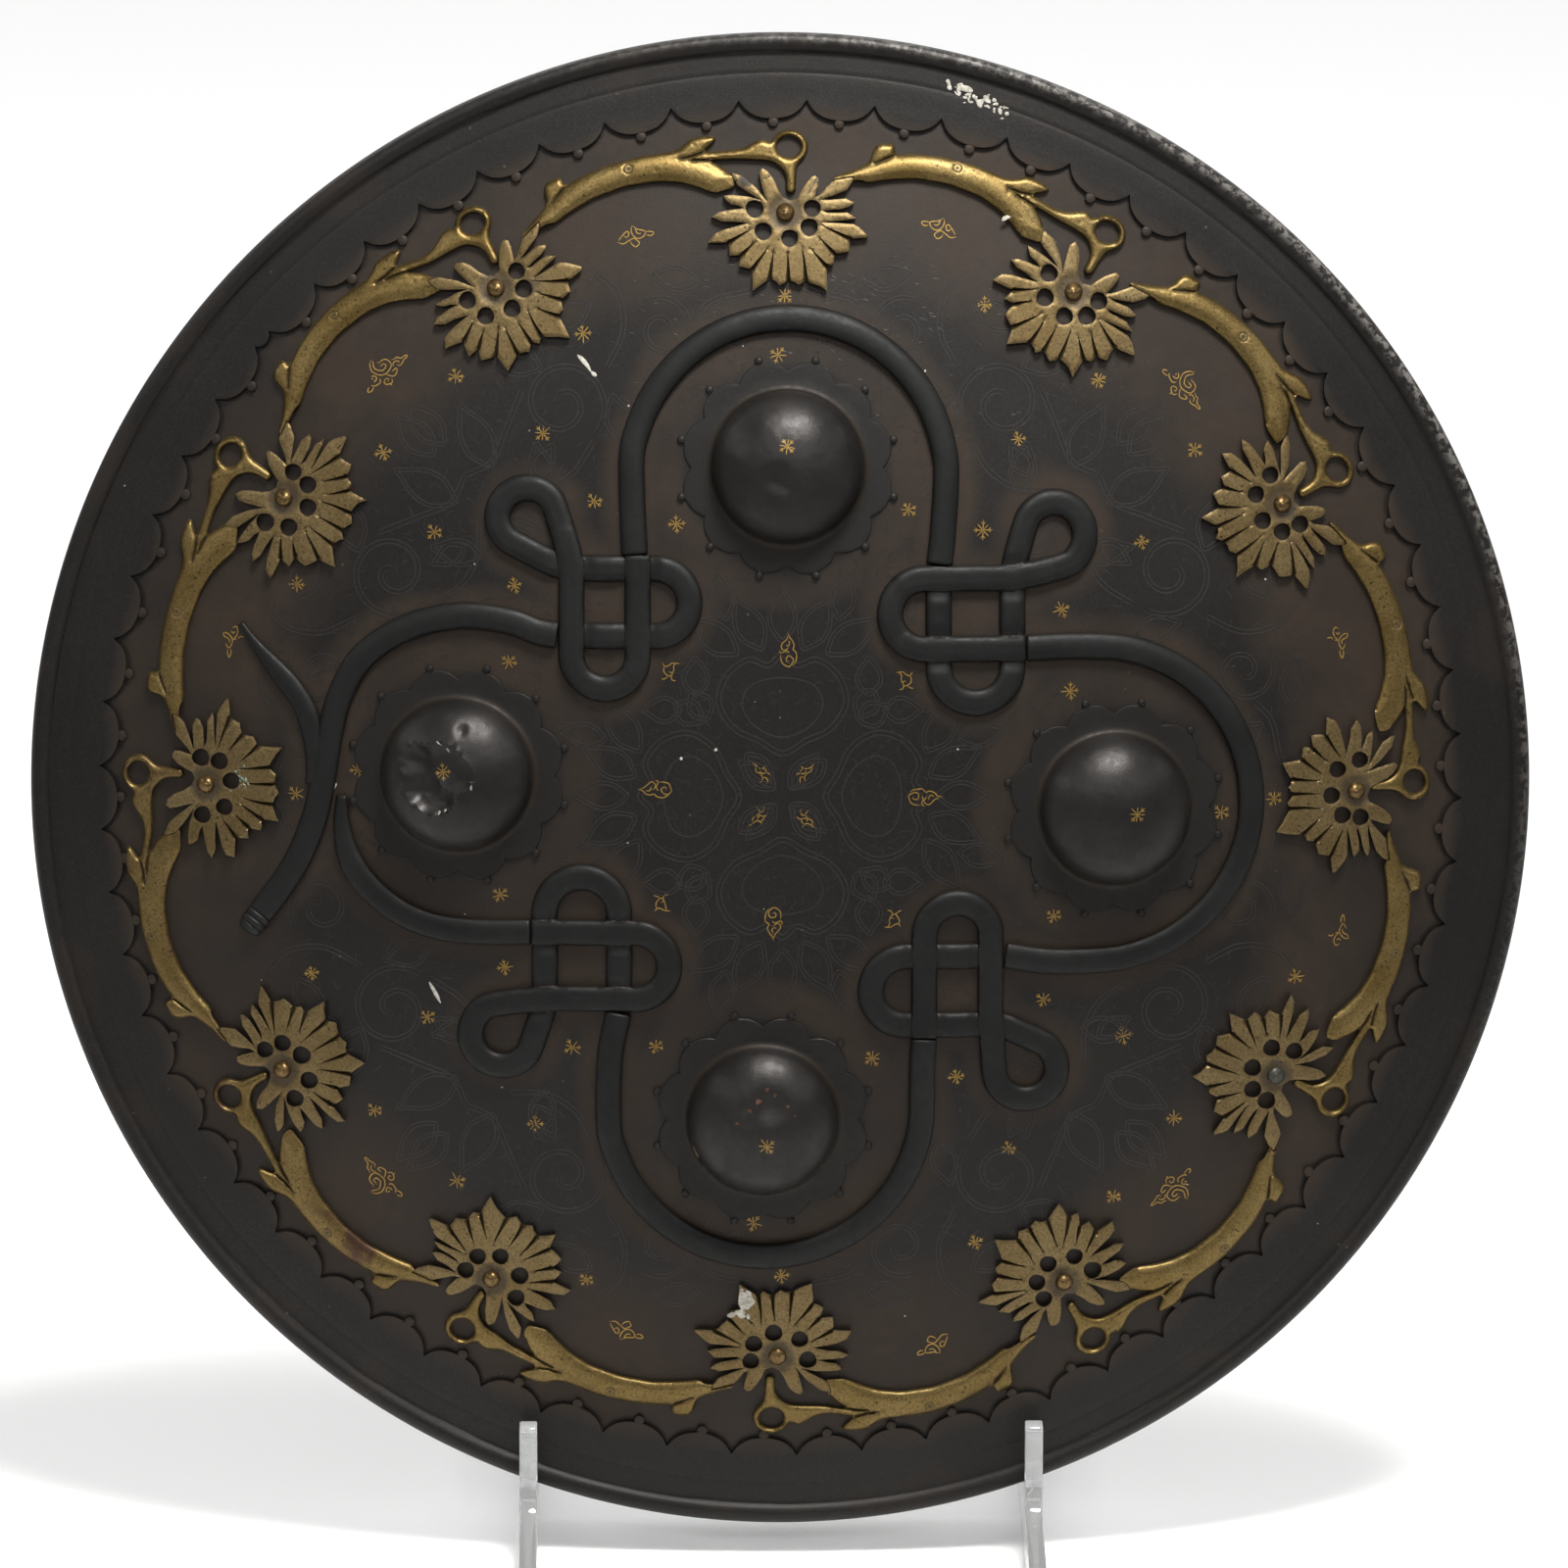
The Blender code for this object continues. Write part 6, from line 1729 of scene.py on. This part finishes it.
def build_engraving():
    rnd = np.random.default_rng(3)
    e = Strokes()

    def line(p, w=0.50, h=0.075):
        keep = np.hypot(p[:, 0], p[:, 1]) < 178
        if keep.all():
            e.add(p, w, h, taper=0.06)

    def double(p, gap=1.15, closed=False):
        a, b = sided(p, gap, closed)
        for q in (a, b):
            if closed:
                e.add(q, 0.48, 0.075, closed=True)
            else:
                line(q)
    for k in range(4):
        # pointed medallion on each axis, with its crown of leaves
        med = spline([(0, 12), (6.5, 15.5), (13.5, 19), (17.6, 26), (15.5, 33.5), (9.5, 38.0), (4.0, 36.4), (0, 39.5),
                      (-4.0, 36.4), (-9.5, 38.0), (-15.5, 33.5), (-17.6, 26), (-13.5, 19), (-6.5, 15.5)], 0.9, True)
        double(quarter(med, k), 1.3, True)
        med2 = spline([(0, 16.5), (7.5, 19.5), (11.2, 25.5), (8.5, 31.0), (0, 33.0), (-8.5, 31.0), (-11.2, 25.5), (-7.5, 19.5)], 0.9, True)
        e.add(quarter(med2, k), 0.46, 0.07, closed=True)
        for s in (1, -1):
            for c, ln, wd, tn in (((s * 9.5, 48.0), 16, 7.5, 90 - s * 28), ((s * 19.5, 44.5), 17, 7.5, 90 - s * 55),
                                  ((s * 17.0, 55.5), 13, 6, 90 - s * 12), ((s * 24.0, 33.5), 10.5, 6.5, 90),
                                  ((s * 25.5, 23.0), 9.0, 6.5, 30 * s), ((s * 6.0, 7.2), 12, 5.5, 50 * s)):
                double(quarter(leaf(c, ln, wd, tn), k), 0.95, True)
        double(quarter(leaf((0, 50.5), 15, 7, 90), k), 0.95, True)
        # scrolls and leaves of the outer field
        for s in (1, -1):
            def put(p):
                p = np.asarray(p, float)
                return quarter(p * [s, 1], k)
            double(put(scroll((61.0, 108.0), 1.2, 12.5, 20, 1.55)), 1.2)
            double(put(scroll((33.0, 128.5), 1.0, 9.0, 200, 1.4, -1)), 1.1)
            double(put(spline([(0.5, 143), (9, 139), (19, 136.5), (25, 131)], 0.9)), 1.2)
            double(put(spline([(72.0, 112), (76.5, 101), (80.5, 92), (88, 88)], 0.9)), 1.2)
            double(put(spline([(52.0, 98), (58, 89), (66, 84.5), (76, 84)], 0.9)), 1.2)
            double(put(spline([(48.5, 118), (44, 128), (45.5, 138), (52, 144)], 0.9)), 1.2)
            for c, ln, wd, tn in (((85.0, 99.0), 19, 8.5, 62), ((75.0, 120.5), 17, 8, 20),
                                  ((60.0, 131.5), 15, 7, -30), ((45.5, 104.5), 13, 6.5, 75), ((15.0, 129.0), 12, 6, 55),
                                  ((70.5, 72.5), 12, 6, 45), ((90.5, 67.0), 14, 6.5, 10), ((66.0, 92.5), 10, 5, 120),
                                  ((30.0, 142.5), 13, 6, 10), ((102.0, 99.0), 15, 7.5, 45)):
                outline = leaf(c, ln, wd, tn)
                e_p = put(outline)
                if (np.hypot(e_p[:, 0], e_p[:, 1]) < 176).all():
                    double(e_p, 0.95, True)
            for c, r in (((61.0, 108.0), 16.5), ((33.0, 128.5), 12.5)):
                for a in range(-20, 300, 32):
                    q = pol(r, a) + c
                    line(put(resample([q, q + pol(3.2, a + 40)], 0.8)), 0.38, 0.05)
    e.make("engraving_on_plate", LINES, ("shield_plate",), None)
    # short worm-like tooling between the outlines
    worms = Strokes()
    count = 0
    for i in range(5200):
        r = sqrt(rnd.uniform(8.0 ** 2, 152.0 ** 2))
        a0 = rnd.uniform(0, 2 * pi)
        c = np.array([r * cos(a0), r * sin(a0)])
        d = rnd.uniform(0, 2 * pi)
        bend = rnd.uniform(-1.2, 1.2)
        p = [c]
        for j in range(rnd.integers(3, 6)):
            d += bend * 0.45 + rnd.normal(0, 0.25)
            p.append(p[-1] + 0.62 * np.array([cos(d), sin(d)]))
        if fbm(c[0], c[1], 30.0, 50) < 0.40:
            continue
        worms.add(np.array(p), 0.36, 0.045, taper=0.3, low=-0.05)
        count += 1
    worms.make("tooling_on_plate", WORMS, ("shield_plate",), None)


# ---- stand -------------------------------------------------------------------------------
def world(x, y, n):
    b = radians(LEAN)
    return (CENTRE.x + x, CENTRE.y + y * sin(b) - n * cos(b), CENTRE.z + y * cos(b) + n * sin(b))


def arc(cy, cz, r, a0, a1, n):
    return [(cy + r * cos(radians(a0 + (a1 - a0) * i / n)),
             cz + r * sin(radians(a0 + (a1 - a0) * i / n))) for i in range(n + 1)]


def side_profile():
    bead_y = -sqrt((RADIUS - BEAD_R) ** 2 - SIDE_X ** 2)
    _, by, bz = world(SIDE_X, bead_y, 0.3)
    seat_r = BEAD_R * 1.25 + 0.5
    front = by - seat_r - 0.5
    rear = by + seat_r
    tooth = 7.5
    foot_h, top_z = 14.6, 40.5
    nose_z = 118.0
    y_loc = (nose_z - CENTRE.z) / cos(radians(LEAN))
    for _ in range(6):
        n = float(rise(hypot(SIDE_X, y_loc))) - PLATE
        y_loc = (nose_z - CENTRE.z - n * sin(radians(LEAN))) / cos(radians(LEAN))
    touch = world(SIDE_X, y_loc, n)[1] + 1.25
    pts = [(FOOT_Y, 0.0), (FOOT_Y, 6.0)]
    pts += arc(FOOT_Y - 4.0, 6.0, 4.0, 0, 90, 10)[1:]
    pts += [(60.0, 12.5)]
    pts += arc(rear + 46.0, 42.0, 30.0, 265, 185, 28)
    pts += [(rear + 13.0, nose_z - 4.0)]
    pts += arc(rear + 6.0, nose_z + 2.0, 7.0, 0, 90, 12)
    pts += arc(touch + 5.0, nose_z + 4.0, 5.0, 90, 180, 10)
    pts += [(touch, nose_z - 4.0), (rear, nose_z - 22.0), (rear, bz)]
    pts += arc((front + rear) / 2, bz, (rear - front) / 2, 0, -180, 20)[1:]
    pts += [(front, top_z - 2.5)]
    pts += arc(front - 2.5, top_z - 2.5, 2.5, 0, 90, 8)[1:]
    pts += arc(front - tooth + 2.5, top_z - 2.5, 2.5, 90, 180, 8)
    pts += arc(front - tooth - 8.0, foot_h + 8.0, 8.0, 0, -90, 14)
    pts += arc(-FOOT_Y + 4.0, 5.0, 4.0, 90, 180, 10)
    pts += [(-FOOT_Y, 0.0)]
    return pts


def bevelled(name, build, node):
    bm = bmesh.new()
    build(bm)
    sharp = [e for e in bm.edges if len(e.link_faces) == 2 and e.calc_face_angle(0) > radians(50)]
    bmesh.ops.bevel(bm, geom=sharp, offset=0.0006, segments=3, affect="EDGES", profile=0.5, clamp_overlap=True)
    bmesh.ops.recalc_face_normals(bm, faces=bm.faces[:])
    me = bpy.data.meshes.new(name)
    bm.to_mesh(me)
    bm.free()
    me.materials.append(CLEAR)
    me.shade_smooth()
    me.set_sharp_from_angle(angle=radians(40))
    ob = bpy.data.objects.new(name, me)
    bpy.context.scene.collection.objects.link(ob)
    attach(ob, "root")
    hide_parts(node)
    return ob


def build_stand():
    for name, x in (("stand_side_left", -SIDE_X), ("stand_side_right", SIDE_X)):
        def side(bm, x=x):
            face = bm.faces.new([bm.verts.new(Vector((x - SHEET / 2, y, z)) * 0.001) for y, z in side_profile()])
            geom = bmesh.ops.extrude_face_region(bm, geom=[face])
            move = [g for g in geom["geom"] if isinstance(g, bmesh.types.BMVert)]
            bmesh.ops.translate(bm, vec=Vector((SHEET * 0.001, 0, 0)), verts=move)
        bevelled(name + "_sheet", side, name)

    def bar(bm):
        half = SIDE_X - SHEET / 2
        bmesh.ops.create_cube(bm, size=1.0, matrix=Matrix.Translation(Vector((0, 0.016, 0.034)))
                              @ Matrix.Diagonal(Vector((2 * half * 0.001, 0.005, 0.030, 1.0))))
    bevelled("stand_bar_sheet", bar, "stand_crossbar")


# ---- studio ------------------------------------------------------------------------------
def area(name, at, look, size, size_y, power, colour=(1, 1, 1)):
    data = bpy.data.lights.new(name, "AREA")
    data.shape = "RECTANGLE"
    data.size, data.size_y = size, size_y
    data.energy = power
    data.color = colour
    ob = bpy.data.objects.new(name, data)
    ob.location = at
    ob.rotation_euler = (Vector(look) - Vector(at)).to_track_quat("-Z", "Y").to_euler()
    bpy.context.scene.collection.objects.link(ob)
    ob.visible_camera = False
    return ob


def studio():
    scene = bpy.context.scene
    scene.view_settings.view_transform = "Standard"
    scene.view_settings.look = "None"
    me = bpy.data.meshes.new("studio_floor")
    me.from_pydata([(-6, -3, 0), (6, -3, 0), (6, 7, 0), (-6, 7, 0)], [], [(0, 1, 2, 3)])
    me.materials.append(FLOOR)
    floor = bpy.data.objects.new("studio_floor", me)
    scene.collection.objects.link(floor)
    w = bpy.data.worlds.new("studio_air")
    w.use_nodes = True
    nt = w.node_tree
    bg = nt.nodes["Background"]
    geo = nt.nodes.new("ShaderNodeTexCoord")
    sep = nt.nodes.new("ShaderNodeSeparateXYZ")
    ramp = nt.nodes.new("ShaderNodeValToRGB")
    # a pale skyline and a ring of soft light about 30 degrees up
    el = ramp.color_ramp.elements
    el[0].position, el[0].color = 0.0, (0.18, 0.18, 0.18, 1)
    el[1].position, el[1].color = 0.62, (0, 0, 0, 1)
    for at, v in ((0.06, 0.18), (0.12, 0.0), (0.45, 0.0), (0.49, 1.0), (0.56, 1.0)):
        el.new(at).color = (v, v, v, 1)
    nt.links.new(geo.outputs["Generated"], sep.inputs[0])
    nt.links.new(sep.outputs["Z"], ramp.inputs[0])
    nt.links.new(ramp.outputs[0], bg.inputs["Color"])
    bg.inputs["Strength"].default_value = WORLD
    scene.world = w
    top = area("top_softbox", (0.20, -0.35, 1.5), (0, 0.0, 0.30), 0.5, 0.4, TOP_POWER, (1.0, 0.985, 0.96))
    top.data.spread = radians(50)
    area("back_softbox", (0.0, 1.5, 1.9), (0, 0.52, 0.0), 3.5, 1.6, BACK_POWER)


WORLD, TOP_POWER, BACK_POWER = 4.567, 2.9, 35.0


def camera():
    th, yaw, dist = radians(6.0), radians(0.7), 3500.0
    cd = Vector((-sin(yaw) * cos(th), sin(th), cos(yaw) * cos(th)))
    fw = -cd
    right = fw.cross(Vector((0, 1, 0))).normalized()
    up = right.cross(fw)
    loc = cd * dist + right * 0.934 - up * 0.66
    basis = Matrix((right, up, cd)).transposed().to_4x4()
    rot = SHIELD.to_3x3().to_4x4() @ basis
    cam = bpy.data.cameras.new("camera")
    cam.sensor_width = 36.0
    cam.lens = 12741.7 * 36.0 / 1600.0
    cam.clip_start, cam.clip_end = 0.1, 30.0
    ob = bpy.data.objects.new("camera", cam)
    bpy.context.scene.collection.objects.link(ob)
    m = rot.copy()
    m.translation = SHIELD @ (loc * 0.001)
    ob.matrix_world = m
    bpy.context.scene.camera = ob


LINES = engraved_steel("engraved_lines", (0.0238, 0.0218, 0.0200), (0.0306, 0.0284, 0.0264), (0.0360, 0.0265, 0.0190),
                       0.4, (0.42, 0.58), 0.28, 0.2)
WORMS = engraved_steel("fine_tooling", (0.0180, 0.0162, 0.0146), (0.0238, 0.0216, 0.0195), (0.0265, 0.0190, 0.0132),
                       0.4, (0.44, 0.60), 0.28, 0.2)
RUST = crust("rust_spots", (0.036, 0.0135, 0.0062), (0.078, 0.031, 0.0125))
OCHRE = crust("ochre_deposit", (0.062, 0.042, 0.018), (0.120, 0.086, 0.041))
# light grey crust used to paint glints on the left boss
PAINTED_GLINT = crust("painted_glint", (0.17, 0.16, 0.145), (0.28, 0.27, 0.245), 0.5)
FLOOR = pale_floor()

build_plate()
for boss_name in BOSSES:
    build_boss(boss_name)
for cord_name, cord_path in CORD_PATHS.items():
    if cord_name == "cord_left_lower":
        build_cord(cord_name, cord_path, lambda t: CORD_W * np.minimum(1.0, 0.42 + 2.2 * t))
    elif cord_name == "cord_tail":
        build_cord(cord_name, cord_path, lambda t: 1.8 + 4.3 * smooth01(t, 0.0, 0.42) - 2.3 * smooth01(t, 0.62, 1.0))
    elif cord_name == "cord_left_upper":
        build_cord(cord_name, cord_path, rings=(2.6, 4.6, 6.6))
    else:
        build_cord(cord_name, cord_path)
for knot_name in KNOTS:
    build_knot(knot_name)
for i in range(12):
    build_flower(i)
    build_pin(i)
for i in range(12):
    build_vine(i)
build_engraving()
build_gold()
build_residue()
build_stand()
studio()
camera()
